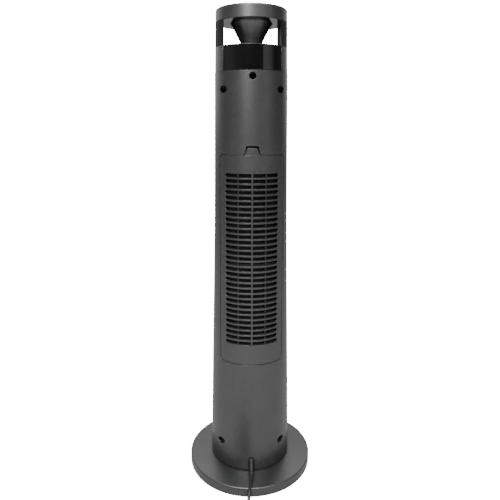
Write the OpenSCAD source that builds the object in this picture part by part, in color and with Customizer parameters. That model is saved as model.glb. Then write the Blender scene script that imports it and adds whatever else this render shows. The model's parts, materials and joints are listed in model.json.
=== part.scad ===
// Tower fan: a round weighted base, a swivelling column that tapers upwards, a tall
// cross-flow blower behind a hinged vent door, and an open head with a cone under its cap.
// Frame: millimetres, +Z up, origin on the floor at the centre of the base. The front of the
// fan, where the air leaves, faces -Y. The vent door, the screws and the cord face +Y.

/* [Column] */
// Height of the whole fan
total_h = 914; // [760:1:1100]
// Radius of the column at its top
body_r_top = 69; // [58:0.5:83]
// Radius of the column at its foot
body_r_foot = 80.9; // [76:0.1:97]
// Thickness of the moulded walls
wall = 2.6; // [2.1:0.1:3.2]
// Width of the seam between the front and the rear casing
seam = 0.2; // [0.1:0.05:0.4]

/* [Base] */
// Radius of the round base
base_r = 126; // [104:1:152]
// Height of the rim of the base
base_rim_h = 20; // [17:0.5:24]
// Height of the flat boss under the column
base_boss_h = 23.4; // [22:0.1:28]
// Rounding of the upper edge of the rim
base_edge_r = 2.5; // [1:0.1:3]
// Thickness of the steel ballast ring
ballast_t = 7; // [5:0.5:8.4]
// Height of the rubber feet below the base
foot_h = 1.5; // [1:0.1:2]
// Radius of one rubber foot
foot_r = 9; // [6:0.5:11]
// Number of rubber feet
foot_count = 6; // [4:1:8]
// Gap between the base and the column
column_gap = 2; // [1.4:0.1:2.6]

/* [Head] */
// Height of the glossy band and the shoulders beside it
band_h = 45.2; // [36:0.5:56]
// Height of the open part of the head
opening_h = 44.5; // [36:0.5:56]
// Height of the cap
cap_h = 23.6; // [20:0.5:30]
// Step in radius from the column to the head
head_inset = 0.5; // [0.2:0.1:1.5]
// Loss of radius from the foot of the head to its top
head_taper = 2; // [0:0.1:4]
// Half of the angle that each glossy band covers
band_angle = 51.5; // [42:0.5:58]
// Radial depth of the two pillars
pillar_t = 11; // [8:0.5:14]
// Radius of the cone at its foot
cone_r_foot = 16.8; // [12:0.1:20]
// Radius of the cone at its top
cone_r_top = 39.4; // [30:0.2:46]

/* [Vent door] */
// Height of the lower edge of the door above the floor
door_foot_z = 248; // [206:1:300]
// Distance from the top of the column down to the door
door_drop = 150.4; // [125:0.2:185]
// Half of the angle that the door covers at the top of the column
door_angle = 59.7; // [50:0.1:64]
// Corner radius of the door
door_corner_r = 7.5; // [4:0.5:10]
// Gap round the door
door_gap = 1.1; // [0.7:0.1:1.3]
// How far the door tilts out, in degrees
door_tilt = 25; // [15:1:30]
// Height of one air slot
slot_h = 7.2; // [5:0.1:7.6]
// Distance from one slot to the next
slot_pitch = 10.4; // [9.6:0.1:12.6]
// Half of the angle that the slots cover at the top of the column
slot_angle = 46.4; // [38:0.1:50]
// Depth of the slats
slat_depth = 6; // [5:0.1:7]
// Width of the middle rib
mid_rib_w = 3; // [2:0.1:4]
// Width of the two side ribs
side_rib_w = 2; // [1.4:0.1:3]
// Plain height above the first slot
door_plain_top = 33.4; // [28:0.2:40]
// Plain height below the last slot
door_plain_foot = 39; // [30:0.2:48]

/* [Door latch] */
// Height of the notch above the door
notch_h = 17; // [14:0.5:21]
// Width of the notch at its foot
notch_w_foot = 32; // [26:0.5:38]
// Width of the notch at its top
notch_w_top = 24; // [20:0.5:25]
// Gap beside the latch
latch_gap = 1.3; // [1:0.1:1.6]
// Gap above the latch
latch_top_gap = 3.4; // [3:0.1:4]
// Travel of the latch
latch_travel = 2.5; // [1.5:0.1:3]

/* [Front grille] */
// Half of the angle that the outlet covers at the top of the column
outlet_angle = 50; // [40:0.5:56]
// Width of one upright bar
bar_w = 2; // [1.6:0.1:2.6]
// Distance from one upright bar to the next
bar_pitch = 7; // [6:0.1:9]
// Distance from one cross bar to the next
cross_pitch = 66; // [50:1:90]

/* [Blower] */
// Radius of the blower wheel
wheel_r = 42; // [35:0.5:51]
// Number of blades
blade_count = 24; // [18:1:32]
// Radial depth of the ring of blades
blade_depth = 10; // [8:0.5:12]
// Largest distance between the stiffening rings of the wheel
ring_pitch = 92; // [70:1:120]
// Radius of the wheel's shaft
shaft_r = 3; // [2.5:0.1:4]
// Running clearance of the shaft in its bearing
shaft_play = 0.05; // [0.02:0.01:0.09]
// Clearance between the wheel and the scroll
scroll_gap = 4; // [3:0.2:6]
// Radius of the fan motor
motor_r = 34; // [28:0.5:41]
// Height of the fan motor
motor_h = 56; // [46:1:68]

/* [Swivel] */
// Radius of the swivel post
post_r = 18; // [15:0.2:21]
// Running clearance of the turntable on the post
post_play = 0.06; // [0.02:0.01:0.09]
// Module of the swivel gears
gear_m = 1.25; // [1.1:0.01:1.5]
// Number of teeth of the fixed gear
sun_teeth = 40; // [36:4:48]
// Number of teeth of the pinion
pinion_teeth = 16; // [16:4:20]
// Width of the gears
gear_w = 6; // [5:0.5:7.2]
// Radius of the swing motor
swing_motor_r = 24; // [20:0.5:28]
// Height of the swing motor
swing_motor_h = 18; // [15:0.5:22]

/* [Screws] */
// Radius of the screw recesses in the rear casing
recess_r = 6.4; // [5.2:0.1:6.7]
// Wall round a screw recess
recess_wall = 1.8; // [1.5:0.1:2.4]
// Height of the two lower screws above the floor
low_screw_z = 73.2; // [66:0.2:90]
// Side distance of the lower screws
low_screw_x = 59.5; // [50:0.5:62]
// Distance of the two upper screws below the top of the column
high_screw_drop = 32.2; // [27:0.2:39]
// Side distance of the upper screws
high_screw_x = 52.4; // [44:0.2:52.4]
// Distance of the middle screw below the top of the column
mid_screw_drop = 10; // [8:0.2:12]

/* [Controls] */
// Radius of the glossy control panel
panel_r = 57.4; // [47:0.2:57.8]
// Radius of one button
button_r = 6.5; // [5.4:0.1:7.8]
// Radius of the arc that the buttons stand on
button_arc_r = 38; // [32:0.5:42]
// Angle between one button and the next
button_step = 28; // [26:1:32]
// Travel of a button
button_travel = 1; // [0.6:0.1:1.2]
// Gap round a button
button_gap = 0.25; // [0.2:0.01:0.3]

/* [Cord] */
// Diameter of the mains cord
cord_d = 6.5; // [5.6:0.1:7.4]
// Width of the cord notch in the foot of the column
cord_notch_w = 12; // [10:0.5:14]
// Height of the cord notch above the floor
cord_notch_h = 53; // [48:0.5:60]

/* [Hidden] */
$fn = 96;
touch = 0.3;                 // clearance between pieces that move past each other
snug = 0.2;                  // clearance between pieces fixed to each other

// counts that the nodes and the route of the cord depend on
button_count = 5;
coil_columns = 4;
coil_layers = 2;
coil_r = 36;                 // middle radius of the coil

// heights
column_foot_z = base_boss_h + column_gap;
column_top_z = total_h - band_h - opening_h - cap_h;
band_top_z = column_top_z + band_h;
cap_foot_z = band_top_z + opening_h;
door_top_z = column_top_z - door_drop;
door_h = door_top_z - door_foot_z;
turntable_z = base_boss_h + touch;
turntable_t = 4;
gear_z = turntable_z + turntable_t + touch;
high_screw_z = column_top_z - high_screw_drop;
mid_screw_z = column_top_z - mid_screw_drop;

// column outline: a straight taper with a flare that starts about a quarter of the way down
flare_start = 0.27;
flare_share = 0.4;
column_steps = 14;
function smooth(u) = u * u * (3 - 2 * u);
function flare(t) =
    (1 - flare_share) * t
    + flare_share * smooth(max(0, min(1, (t - flare_start) / (1 - flare_start))));
function body_r(z) =
    body_r_top + (body_r_foot - body_r_top)
    * flare((column_top_z - z) / (column_top_z - column_foot_z));

// head outline: a straight taper
function head_r(z) =
    body_r_top - head_inset
    - head_taper * (z - column_top_z) / (total_h - column_top_z);

// A tube that follows the column, from one depth below its surface to another
module column_tube(depth_out, depth_in) {
    zs = [for (i = [0 : column_steps])
        column_foot_z + (column_top_z - column_foot_z) * i / column_steps];
    rotate_extrude()
        polygon(concat(
            [for (z = zs) [body_r(z) - depth_out, z]],
            [for (i = [column_steps : -1 : 0]) [body_r(zs[i]) - depth_in, zs[i]]]));
}

// A tube that follows the head between two heights
module head_tube(z0, z1, depth_out, depth_in) {
    rotate_extrude()
        polygon([
            [head_r(z0) - depth_in, z0], [head_r(z0) - depth_out, z0],
            [head_r(z1) - depth_out, z1], [head_r(z1) - depth_in, z1]]);
}

// An outline drawn in X and Z, pushed through the rear (side 1) or the front (side -1)
module through(side = 1) {
    mirror([0, side > 0 ? 1 : 0, 0])
        rotate([90, 0, 0])
            linear_extrude(120)
                children();
}

// A rectangle with round corners, from its lower edge upwards
module round_rect(w, h, r) {
    translate([-w / 2 + r, 0]) square([w - 2 * r, h]);
    translate([-w / 2, r]) square([w, h - 2 * r]);
    for (x = [-w / 2 + r, w / 2 - r], y = [r, h - r])
        translate([x, y]) circle(r, $fn = 48);
}

// A wedge of the given half angle round the Y axis
module wedge(half_angle, side, z0, z1) {
    reach = 110;
    translate([0, 0, z0])
        linear_extrude(z1 - z0)
            polygon([[0, 0], [reach * tan(half_angle), side * reach],
                [-reach * tan(half_angle), side * reach]]);
}

// ---------------------------------------------------------------- base

base_screw_ring = base_r - 14;
// the screws stand midway between two feet
base_screw_angles = [for (i = [0 : foot_count - 1])
    15 + (i + 0.5) * 360 / foot_count];
base_top_r = body_r_foot + 2;
plate_t = 3;
plate_top_z = foot_h + plate_t;
ballast_r_in = 42;
ballast_r_out = base_screw_ring - 8;
flange_r = post_r + 14;
flange_t = 3;
groove_depth = 1;
glide_r_in = body_r_foot - 19;
glide_r_out = body_r_foot - 13;
screw_shaft_r = 1.7;
screw_head_r = 3.4;
screw_head_t = 1.6;

module base_cover() color("dimgray") {
    difference() {
        union() {
            rotate_extrude($fn = 128)
                polygon(concat(
                    [[base_r - wall, foot_h], [base_r, foot_h]],
                    [for (a = [0 : 15 : 90]) [
                        base_r - base_edge_r + base_edge_r * cos(a),
                        base_rim_h - base_edge_r + base_edge_r * sin(a)]],
                    [[base_top_r, base_boss_h], [post_r + snug, base_boss_h],
                     [post_r + snug, base_boss_h - wall], [base_top_r, base_boss_h - wall],
                     [base_r - wall - base_edge_r, base_rim_h - wall],
                     [base_r - wall, base_rim_h - wall - base_edge_r]]));
            for (a = base_screw_angles) rotate(a)
                translate([base_screw_ring, 0, plate_top_z])
                    cylinder(r = screw_shaft_r + 2.6, h = base_rim_h - 1.5 - plate_top_z);
        }
        translate([0, 0, base_boss_h - groove_depth]) difference() {
            cylinder(r = glide_r_out, h = 5);
            translate([0, 0, -1]) cylinder(r = glide_r_in, h = 7);
        }
        for (a = base_screw_angles) rotate(a)
            translate([base_screw_ring, 0, plate_top_z - 1])
                cylinder(r = screw_shaft_r, h = 10.5);
        for (a = [0 : 90 : 270]) rotate(a)
            translate([post_r + 8, 0, base_boss_h - wall - 1])
                cylinder(r = screw_shaft_r, h = 2.4);
    }
}

module base_plate() color("black") {
    difference() {
        translate([0, 0, foot_h]) cylinder(r = base_r - wall - snug, h = plate_t);
        for (i = [0 : foot_count - 1]) rotate(i * 360 / foot_count + 15)
            translate([base_r - 17, 0, foot_h - 1]) cylinder(r = foot_r, h = 1 + plate_t / 2);
        for (a = base_screw_angles) rotate(a) translate([base_screw_ring, 0, 0]) {
            cylinder(r = screw_shaft_r, h = 10);
            cylinder(r = screw_head_r + snug, h = foot_h + screw_head_t);
        }
    }
}

module ballast_ring() color("slategray") {
    translate([0, 0, plate_top_z]) difference() {
        cylinder(r = ballast_r_out, h = ballast_t);
        translate([0, 0, -1]) cylinder(r = ballast_r_in, h = ballast_t + 2);
    }
}

module rubber_feet() color("black") {
    for (i = [0 : foot_count - 1]) rotate(i * 360 / foot_count + 15)
        translate([base_r - 17, 0, 0]) cylinder(r = foot_r, h = foot_h + plate_t / 2);
}

// A pan-head screw that points up, its head at the origin
module screw(length) {
    cylinder(r = screw_head_r, h = screw_head_t, $fn = 32);
    cylinder(r = screw_shaft_r, h = screw_head_t + length, $fn = 32);
}

module base_screws() color("silver") {
    for (a = base_screw_angles) rotate(a)
        translate([base_screw_ring, 0, foot_h]) screw(9);
}

module swivel_post() color("dimgray") {
    difference() {
        union() {
            translate([0, 0, base_boss_h - wall - flange_t])
                cylinder(r = flange_r, h = flange_t);
            translate([0, 0, base_boss_h - wall - flange_t])
                cylinder(r = post_r, h = gear_z + gear_w + 2 + wall + flange_t - base_boss_h);
        }
        translate([0, 0, 0]) cylinder(r = post_r - 5, h = 100);
        for (a = [0 : 90 : 270]) rotate(a)
            translate([post_r + 8, 0, 0]) cylinder(r = screw_shaft_r, h = 30);
    }
}

module post_screws() color("silver") {
    for (a = [0 : 90 : 270]) rotate(a)
        translate([post_r + 8, 0, base_boss_h - wall - flange_t - screw_head_t])
            screw(flange_t + 1.4);
}

module glide_ring() color("whitesmoke") {
    translate([0, 0, base_boss_h - groove_depth]) difference() {
        cylinder(r = glide_r_out - snug, h = groove_depth + touch - 0.05);
        translate([0, 0, -1]) cylinder(r = glide_r_in + snug, h = 5);
    }
}

// ---------------------------------------------------------------- swivel drive

pressure_angle = 20;
backlash = 0.2;
gear_addendum = 0.8;
gear_dedendum = 1.1;
gear_distance = gear_m * (sun_teeth + pinion_teeth) / 2;
function involute(r) = tan(r) - r * PI / 180;
function tooth_half_angle(teeth, r) =
    let (pitch = gear_m * teeth / 2, base = pitch * cos(pressure_angle),
         here = r > base ? acos(base / r) : 0)
    (PI / 2 - backlash / gear_m) / teeth * 180 / PI
    + (involute(pressure_angle) - involute(here)) * 180 / PI;

// The outline of one gear, with a tooth on the X axis
module gear_outline(teeth) {
    pitch = gear_m * teeth / 2;
    root = pitch - gear_m * gear_dedendum;
    tip = pitch + gear_m * gear_addendum;
    flank = [for (i = [0 : 3]) root + (tip - root) * i / 3];
    polygon([for (t = [0 : teeth - 1], side = [-1, 1], i = [0 : 3])
        let (r = side < 0 ? flank[i] : flank[3 - i],
             a = t * 360 / teeth + side * tooth_half_angle(teeth, r))
        [r * cos(a), r * sin(a)]]);
}

module swivel_gear() color("gainsboro") {
    translate([0, 0, gear_z]) difference() {
        linear_extrude(gear_w) gear_outline(sun_teeth);
        translate([0, 0, -1]) cylinder(r = post_r + post_play, h = gear_w + 2);
    }
}

module retaining_ring() color("silver") {
    translate([0, 0, gear_z + gear_w]) difference() {
        cylinder(r = post_r + 3, h = 1.2);
        translate([0, 0, -1]) cylinder(r = post_r + post_play, h = 4);
    }
}

swing_plate_z = gear_z + gear_w + 2.5;
swing_plate_t = 2;
swing_post_x = 21;
swing_post_y = -gear_distance - 14;
pinion_shaft_r = 2.5;

module swing_pinion() color("gainsboro") {
    translate([0, -gear_distance, gear_z]) {
        rotate(90 + 180 / pinion_teeth)
            linear_extrude(gear_w) gear_outline(pinion_teeth);
        cylinder(r = pinion_shaft_r, h = swing_plate_z + swing_plate_t + 3 - gear_z);
    }
}

module swing_bracket() color("silver") {
    difference() {
        union() {
            translate([-swing_post_x - 5, swing_post_y - 6, swing_plate_z])
                cube([2 * swing_post_x + 10, 30, swing_plate_t]);
            for (x = [-1, 1])
                translate([x * swing_post_x, swing_post_y, turntable_z + turntable_t])
                    cylinder(r = 4, h = swing_plate_z - turntable_z - turntable_t);
        }
        translate([0, -gear_distance, 0]) cylinder(r = pinion_shaft_r + 2, h = 100);
    }
}

module swing_motor() color("silver") {
    translate([0, -gear_distance, swing_plate_z + swing_plate_t]) difference() {
        cylinder(r = swing_motor_r, h = swing_motor_h);
        translate([0, 0, -1]) cylinder(r = pinion_shaft_r + 0.06, h = 5);
    }
}

// ---------------------------------------------------------------- column

column_boss_r = 4.5;
column_boss_ring = body_r_foot - wall - 8;
column_boss_z = turntable_z + turntable_t;
column_boss_h = 16;
column_web = 3;               // the web that joins a boss to the wall

module turntable() color("black") {
    difference() {
        translate([0, 0, turntable_z])
            cylinder(r = body_r_foot - wall - 2.4, h = turntable_t);
        cylinder(r = post_r + post_play, h = 100);
        for (a = [45 : 90 : 315]) rotate(a)
            translate([column_boss_ring, 0, 0]) {
                cylinder(r = screw_shaft_r, h = 60);
                cylinder(r = screw_head_r + snug, h = turntable_z + screw_head_t + 0.4);
            }
    }
}

module turntable_screws() color("silver") {
    for (a = [45 : 90 : 315]) rotate(a)
        translate([column_boss_ring, 0, turntable_z + 0.4]) screw(12);
}

module column_boss(a) {
    rotate(a) translate([column_boss_ring, 0, column_boss_z]) {
        cylinder(r = column_boss_r, h = column_boss_h);
        translate([0, -column_web / 2, 0])
            cube([body_r_foot - wall - column_boss_ring, column_web, column_boss_h]);
    }
}

module column_boss_hole(a) {
    rotate(a) translate([column_boss_ring, 0, column_boss_z - 1])
        cylinder(r = screw_shaft_r, h = 13);
}

door_hw = body_r_top * sin(door_angle);
slot_hw = body_r_top * sin(slot_angle);
outlet_hw = body_r_top * sin(outlet_angle);
slot_count = floor((door_h - door_plain_top - door_plain_foot - slot_h) / slot_pitch) + 1;
slot_top_z = door_top_z - door_plain_top - slot_h / 2;
outlet_z0 = door_foot_z + 8;
outlet_z1 = door_top_z - 4;
seat = 14;                   // depth of the screw seats behind the joint of the casings
screw_places = [
    [low_screw_x, low_screw_z], [-low_screw_x, low_screw_z],
    [high_screw_x, high_screw_z], [-high_screw_x, high_screw_z], [0, mid_screw_z]];

notch_knee = 0.45 * notch_h;  // where the flared foot of the notch ends
module notch_outline(shrink, top_shrink) {
    polygon([
        [-notch_w_foot / 2 + shrink, 0], [notch_w_foot / 2 - shrink, 0],
        [notch_w_top / 2 - shrink + 1, notch_knee],
        [notch_w_top / 2 - shrink, notch_h - top_shrink - 2],
        [notch_w_top / 2 - shrink - 2, notch_h - top_shrink],
        [-notch_w_top / 2 + shrink + 2, notch_h - top_shrink],
        [-notch_w_top / 2 + shrink, notch_h - top_shrink - 2],
        [-notch_w_top / 2 + shrink - 1, notch_knee]]);
}

module cord_arch(w) {
    translate([-w / 2, column_foot_z - 1])
        square([w, cord_notch_h - cord_notch_w / 2 - column_foot_z + 1]);
    translate([0, cord_notch_h - cord_notch_w / 2]) circle(w / 2, $fn = 48);
}

// The part of a screw tower that stays inside the column
module screw_tower(x, z, side) {
    intersection() {
        translate([x, 0, z]) rotate([side > 0 ? -90 : 90, 0, 0])
            translate([0, 0, seam / 2])
                cylinder(r = side > 0 ? recess_r + recess_wall : screw_shaft_r + 3.4, h = 90);
        cylinder(r = body_r(z) - wall / 2, h = total_h);
    }
}

module rear_casing() color("dimgray") {
    difference() {
        union() {
            intersection() {
                column_tube(0, wall);
                translate([-150, seam / 2, 0]) cube([300, 150, total_h]);
            }
            for (p = screw_places) screw_tower(p[0], p[1], 1);
            column_boss(45);
            column_boss(135);
        }
        through() translate([0, door_foot_z - door_gap])
            round_rect(2 * (door_hw + door_gap), door_h + door_gap + 1, door_corner_r);
        through() translate([0, door_top_z]) notch_outline(0, 0);
        through() cord_arch(cord_notch_w);
        for (p = screw_places) translate([p[0], 0, p[1]]) rotate([-90, 0, 0]) {
            translate([0, 0, seat]) cylinder(r = recess_r, h = 100);
            cylinder(r = screw_shaft_r, h = 100);
        }
        column_boss_hole(45);
        column_boss_hole(135);
    }
}

module front_casing() color("dimgray") {
    difference() {
        union() {
            intersection() {
                column_tube(0, wall);
                translate([-150, -150 - seam / 2, 0]) cube([300, 150, total_h]);
            }
            for (p = screw_places) screw_tower(p[0], p[1], -1);
            column_boss(225);
            column_boss(315);
        }
        through(-1) translate([0, outlet_z0 - snug])
            round_rect(2 * (outlet_hw + snug), outlet_z1 - outlet_z0 + 2 * snug, 10);
        for (p = screw_places) translate([p[0], -9, p[1]]) rotate([-90, 0, 0])
            cylinder(r = screw_shaft_r, h = 20);
        column_boss_hole(225);
        column_boss_hole(315);
    }
}

module casing_screws() color("black") {
    for (p = screw_places) translate([p[0], seat + screw_head_t, p[1]])
        rotate([90, 0, 0]) screw(seat + 8);
}

module front_grille() color("black") {
    bars = floor(outlet_hw / bar_pitch);
    rows = ceil((outlet_z1 - outlet_z0) / cross_pitch);
    intersection() {
        column_tube(0, wall + 1.4);
        through(-1) translate([0, outlet_z0])
            round_rect(2 * outlet_hw, outlet_z1 - outlet_z0, 10);
        union() {
            difference() {
                translate([-outlet_hw, -150, outlet_z0])
                    cube([2 * outlet_hw, 149, outlet_z1 - outlet_z0]);
                translate([-outlet_hw + 3, -151, outlet_z0 + 3])
                    cube([2 * outlet_hw - 6, 152, outlet_z1 - outlet_z0 - 6]);
            }
            for (i = [-bars : bars])
                translate([i * bar_pitch - bar_w / 2, -150, outlet_z0])
                    cube([bar_w, 149, outlet_z1 - outlet_z0]);
            for (j = [1 : rows - 1])
                translate([-outlet_hw, -150,
                    outlet_z0 + (outlet_z1 - outlet_z0) * j / rows - 1.5])
                    cube([2 * outlet_hw, 149, 3]);
        }
    }
}

// ---------------------------------------------------------------- vent door

rib_x = (slot_hw + mid_rib_w / 2) / 2;

module slot_windows() {
    mid = mid_rib_w / 2;
    side = side_rib_w / 2;
    for (i = [0 : slot_count - 1], s = [-1, 1])
        translate([0, slot_top_z - i * slot_pitch]) {
            translate([s > 0 ? mid : side - rib_x, -slot_h / 2])
                square([rib_x - side - mid, slot_h]);
            translate([s > 0 ? rib_x + side : slot_h / 2 - slot_hw, -slot_h / 2])
                square([slot_hw - slot_h / 2 - rib_x - side, slot_h]);
            translate([s * (slot_hw - slot_h / 2), 0]) circle(slot_h / 2, $fn = 24);
        }
}

// The rounded heel behind the door's lower edge, struck from the line the door tilts about
heel_r = 5;
heel_w = 16;
module door_heel() {
    intersection() {
        translate([-heel_w / 2, body_r(door_foot_z), door_foot_z]) rotate([0, 90, 0])
            cylinder(r = heel_r, h = heel_w, $fn = 64);
        column_tube(wall - 0.4, slat_depth);
        translate([-heel_w, 0, door_foot_z]) cube([2 * heel_w, 150, heel_r + 1]);
    }
}

hook_x = 30;
hook_w = 8;
module door_hooks() {
    wall_y = sqrt(pow(body_r(door_foot_z) - wall, 2) - pow(hook_x + hook_w / 2, 2));
    for (s = [-1, 1]) translate([s * hook_x - hook_w / 2, wall_y - 5, 0]) {
        translate([0, 0, door_foot_z + 3]) cube([hook_w, 7, 5]);
        translate([0, 0, door_foot_z - 6]) cube([hook_w, 3.6, 14]);
    }
}

module vent_door() color("dimgray") {
    difference() {
        union() {
            intersection() {
                column_tube(0, wall);
                through() translate([0, door_foot_z])
                    round_rect(2 * door_hw, door_h, door_corner_r);
            }
            intersection() {
                column_tube(wall - 0.4, slat_depth);
                through() translate([0, slot_top_z - (slot_count - 1) * slot_pitch - slot_h])
                    round_rect(2 * slot_hw + 6,
                        (slot_count - 1) * slot_pitch + 2 * slot_h, 4);
            }
            intersection() {
                column_tube(wall - 0.4, slat_depth + 0.2);
                through() for (s = [-1, 1])
                    translate([s * 11.2 - 1.3, door_top_z - 20]) square([2.6, 17]);
            }
            door_hooks();
            door_heel();
        }
        through() slot_windows();
    }
}

filter_z0 = door_foot_z + 16;
filter_z1 = door_top_z - 26;
filter_hw = slot_hw + 2;
filter_rows = 4;
module filter_windows() {
    step = (filter_z1 - filter_z0 - 4) / filter_rows;
    for (j = [0 : filter_rows - 1], s = [-1, 1])
        translate([s > 0 ? 2 : 4 - filter_hw, filter_z0 + 4 + j * step])
            square([filter_hw - 6, step - 4]);
}

module filter_frame() color("black") {
    intersection() {
        column_tube(slat_depth + snug, slat_depth + 3);
        through() difference() {
            translate([-filter_hw, filter_z0]) square([2 * filter_hw, filter_z1 - filter_z0]);
            filter_windows();
        }
    }
}

module filter_mesh() color("darkslategray") {
    intersection() {
        column_tube(slat_depth + 1.4, slat_depth + 2);
        through() filter_windows();
    }
}

module door_latch() color("dimgray") {
    intersection() {
        column_tube(wall + touch, wall + touch + 2.5);
        through() {
            translate([0, door_top_z]) notch_outline(latch_gap, latch_top_gap);
            translate([-9, door_top_z - 18]) square([18, 19]);
        }
    }
}

// ---------------------------------------------------------------- blower

loom_x = body_r_top - wall - 4.8;
loom_y = -3;
loom_r = 1.6;
floor_z = door_foot_z + 10;
plate = 4;
ceiling_z = door_top_z - 12;
wheel_z0 = floor_z + plate + 6;
wheel_z1 = ceiling_z - 6;
scroll_r = wheel_r + scroll_gap;
scroll_t = 2;
bearing_r = shaft_r + 5;
blade_inset = 0.6;
door_clear_y = body_r_top * cos(door_angle) - wall - 3;

// A plate across the column that leaves the door's space free
module cross_plate(z) {
    difference() {
        translate([0, 0, z]) cylinder(r = body_r_top - wall - 3, h = plate);
        translate([-100, door_clear_y, z - 1]) cube([200, 100, plate + 2]);
        translate([loom_x, loom_y, z - 1]) cylinder(r = loom_r + 0.6, h = plate + 2, $fn = 24);
    }
}

motor_screw_ring = motor_r - 8;

module blower_floor() color("black") {
    difference() {
        cross_plate(floor_z);
        cylinder(r = shaft_r + 3, h = total_h);
        for (a = [45 : 90 : 315]) rotate(a)
            translate([motor_screw_ring, 0, 0]) cylinder(r = screw_shaft_r, h = total_h);
    }
}

module blower_ceiling() color("black") {
    difference() {
        cross_plate(ceiling_z);
        cylinder(r = bearing_r, h = total_h);
    }
}

// The part of a ring between two angles
module ring_sector(r_in, r_out, a0, a1) {
    difference() {
        circle(r_out);
        circle(r_in);
        rotate(a1) translate([-200, 0]) square([400, 200]);
        rotate(a0) translate([-200, -200]) square([400, 200]);
    }
}

// Wall of the blower, kept inside the column
module blower_wall(a0, a1, edge_x) {
    reach = body_r_top * cos(outlet_angle) + 1;
    translate([0, 0, floor_z + plate])
        linear_extrude(ceiling_z - floor_z - plate)
            intersection() {
                union() {
                    ring_sector(scroll_r, scroll_r + scroll_t, a0, a1);
                    translate([edge_x, -reach]) square([scroll_t, reach]);
                }
                circle(body_r_top - wall - snug);
            }
}

module scroll_wall() color("dimgray") blower_wall(0, 38, scroll_r);
module vortex_wall() color("dimgray") mirror([1, 0, 0]) blower_wall(0, 14, scroll_r);

// One blade of the wheel, curved forwards, between the inner and the outer radius
module blade() {
    r0 = wheel_r - blade_depth + blade_inset;
    depth = blade_depth - 2 * blade_inset;
    sweep = 16;
    thick = 1.8;
    front = [for (i = [0 : 3]) let (u = i / 3, r = r0 + depth * u, a = sweep * u * u)
        [r * cos(a), r * sin(a)]];
    back = [for (i = [3 : -1 : 0])
        let (u = i / 3, r = r0 + depth * u, a = sweep * u * u + thick)
        [r * cos(a), r * sin(a)]];
    polygon(concat(front, back));
}

module wheel_disc(z, t) {
    translate([0, 0, z]) difference() {
        cylinder(r = wheel_r, h = t);
        translate([0, 0, -1]) cylinder(r = shaft_r + 4, h = t + 2);
    }
}

module blower_wheel() color("darkgray") {
    rings = ceil((wheel_z1 - wheel_z0) / ring_pitch);
    wheel_disc(wheel_z0, 2.4);
    wheel_disc(wheel_z1 - 2.4, 2.4);
    for (i = [1 : rings - 1])
        translate([0, 0, wheel_z0 + (wheel_z1 - wheel_z0) * i / rings - 0.75]) difference() {
            cylinder(r = wheel_r, h = 1.5);
            translate([0, 0, -1]) cylinder(r = wheel_r - blade_depth, h = 4);
        }
    translate([0, 0, wheel_z0 + 1])
        linear_extrude(wheel_z1 - wheel_z0 - 2)
            for (i = [0 : blade_count - 1]) rotate(i * 360 / blade_count) blade();
}

module wheel_shaft() color("silver") {
    translate([0, 0, floor_z - 12]) cylinder(r = shaft_r, h = wheel_z0 + 14 - floor_z + 12);
    translate([0, 0, wheel_z0 - 2]) cylinder(r = shaft_r + 4, h = 8);
    translate([0, 0, wheel_z1 - 12]) cylinder(r = shaft_r, h = 12 + 6 + plate + 4);
    translate([0, 0, wheel_z1 - 5]) cylinder(r = shaft_r + 4, h = 7);
}

module bearing_bush() color("peru") {
    translate([0, 0, ceiling_z]) difference() {
        cylinder(r = bearing_r, h = plate + 1);
        translate([0, 0, -1]) cylinder(r = shaft_r + shaft_play, h = plate + 4);
    }
}

module fan_motor() color("silver") {
    difference() {
        translate([0, 0, floor_z - motor_h]) union() {
            cylinder(r = motor_r, h = motor_h);
            cylinder(r = motor_r + 1.5, h = 3);
            translate([0, 0, motor_h / 2 - 8]) cylinder(r = motor_r + 1.5, h = 16);
        }
        translate([0, 0, floor_z - 14]) cylinder(r = shaft_r + shaft_play, h = 20);
        for (a = [45 : 90 : 315]) rotate(a)
            translate([motor_screw_ring, 0, floor_z - 8])
                cylinder(r = screw_shaft_r, h = 10);
    }
}

module motor_screws() color("silver") {
    for (a = [45 : 90 : 315]) rotate(a)
        translate([motor_screw_ring, 0, floor_z + plate + screw_head_t])
            rotate([180, 0, 0]) screw(plate + 6);
}

// ---------------------------------------------------------------- electrical parts

board_y = -motor_r - 8;
module main_board() color("darkgreen") {
    translate([-34, board_y, 96]) {
        cube([68, 1.6, 88]);
        translate([6, -12, 8]) cube([22, 12, 20]);
        translate([36, -9, 10]) cube([14, 9, 14]);
        translate([10, -7, 44]) cube([30, 7, 12]);
        translate([50, -5, 60]) cube([10, 5, 20]);
        for (x = [14, 26, 38]) translate([x, 0, 74]) rotate([90, 0, 0])
            cylinder(r = 4, h = 10, $fn = 32);
    }
}

module wiring_loom() color("black") {
    loom_z0 = 190;
    loom_z1 = band_top_z - 10;
    pillar_x = head_r(cap_foot_z) - pillar_t / 2;
    translate([loom_x, loom_y, loom_z0])
        cylinder(r = loom_r, h = loom_z1 - loom_z0, $fn = 24);
    translate([pillar_x, 0, loom_z1])
        cylinder(r = loom_r, h = opening_h + 16, $fn = 24);
    for (p = [[loom_x, loom_y], [pillar_x, 0]])
        translate([p[0], p[1], loom_z1]) sphere(loom_r + 0.6, $fn = 24);
    run = [pillar_x - loom_x, -loom_y];
    translate([loom_x, loom_y, loom_z1])
        rotate([0, 90, atan2(run[1], run[0])])
            cylinder(r = loom_r, h = norm(run), $fn = 24);
}

// ---------------------------------------------------------------- head

shell_t = 3.4;
lens_t = 1.8;
underside_t = 1.6;
cap_edge_r = 3;

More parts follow.
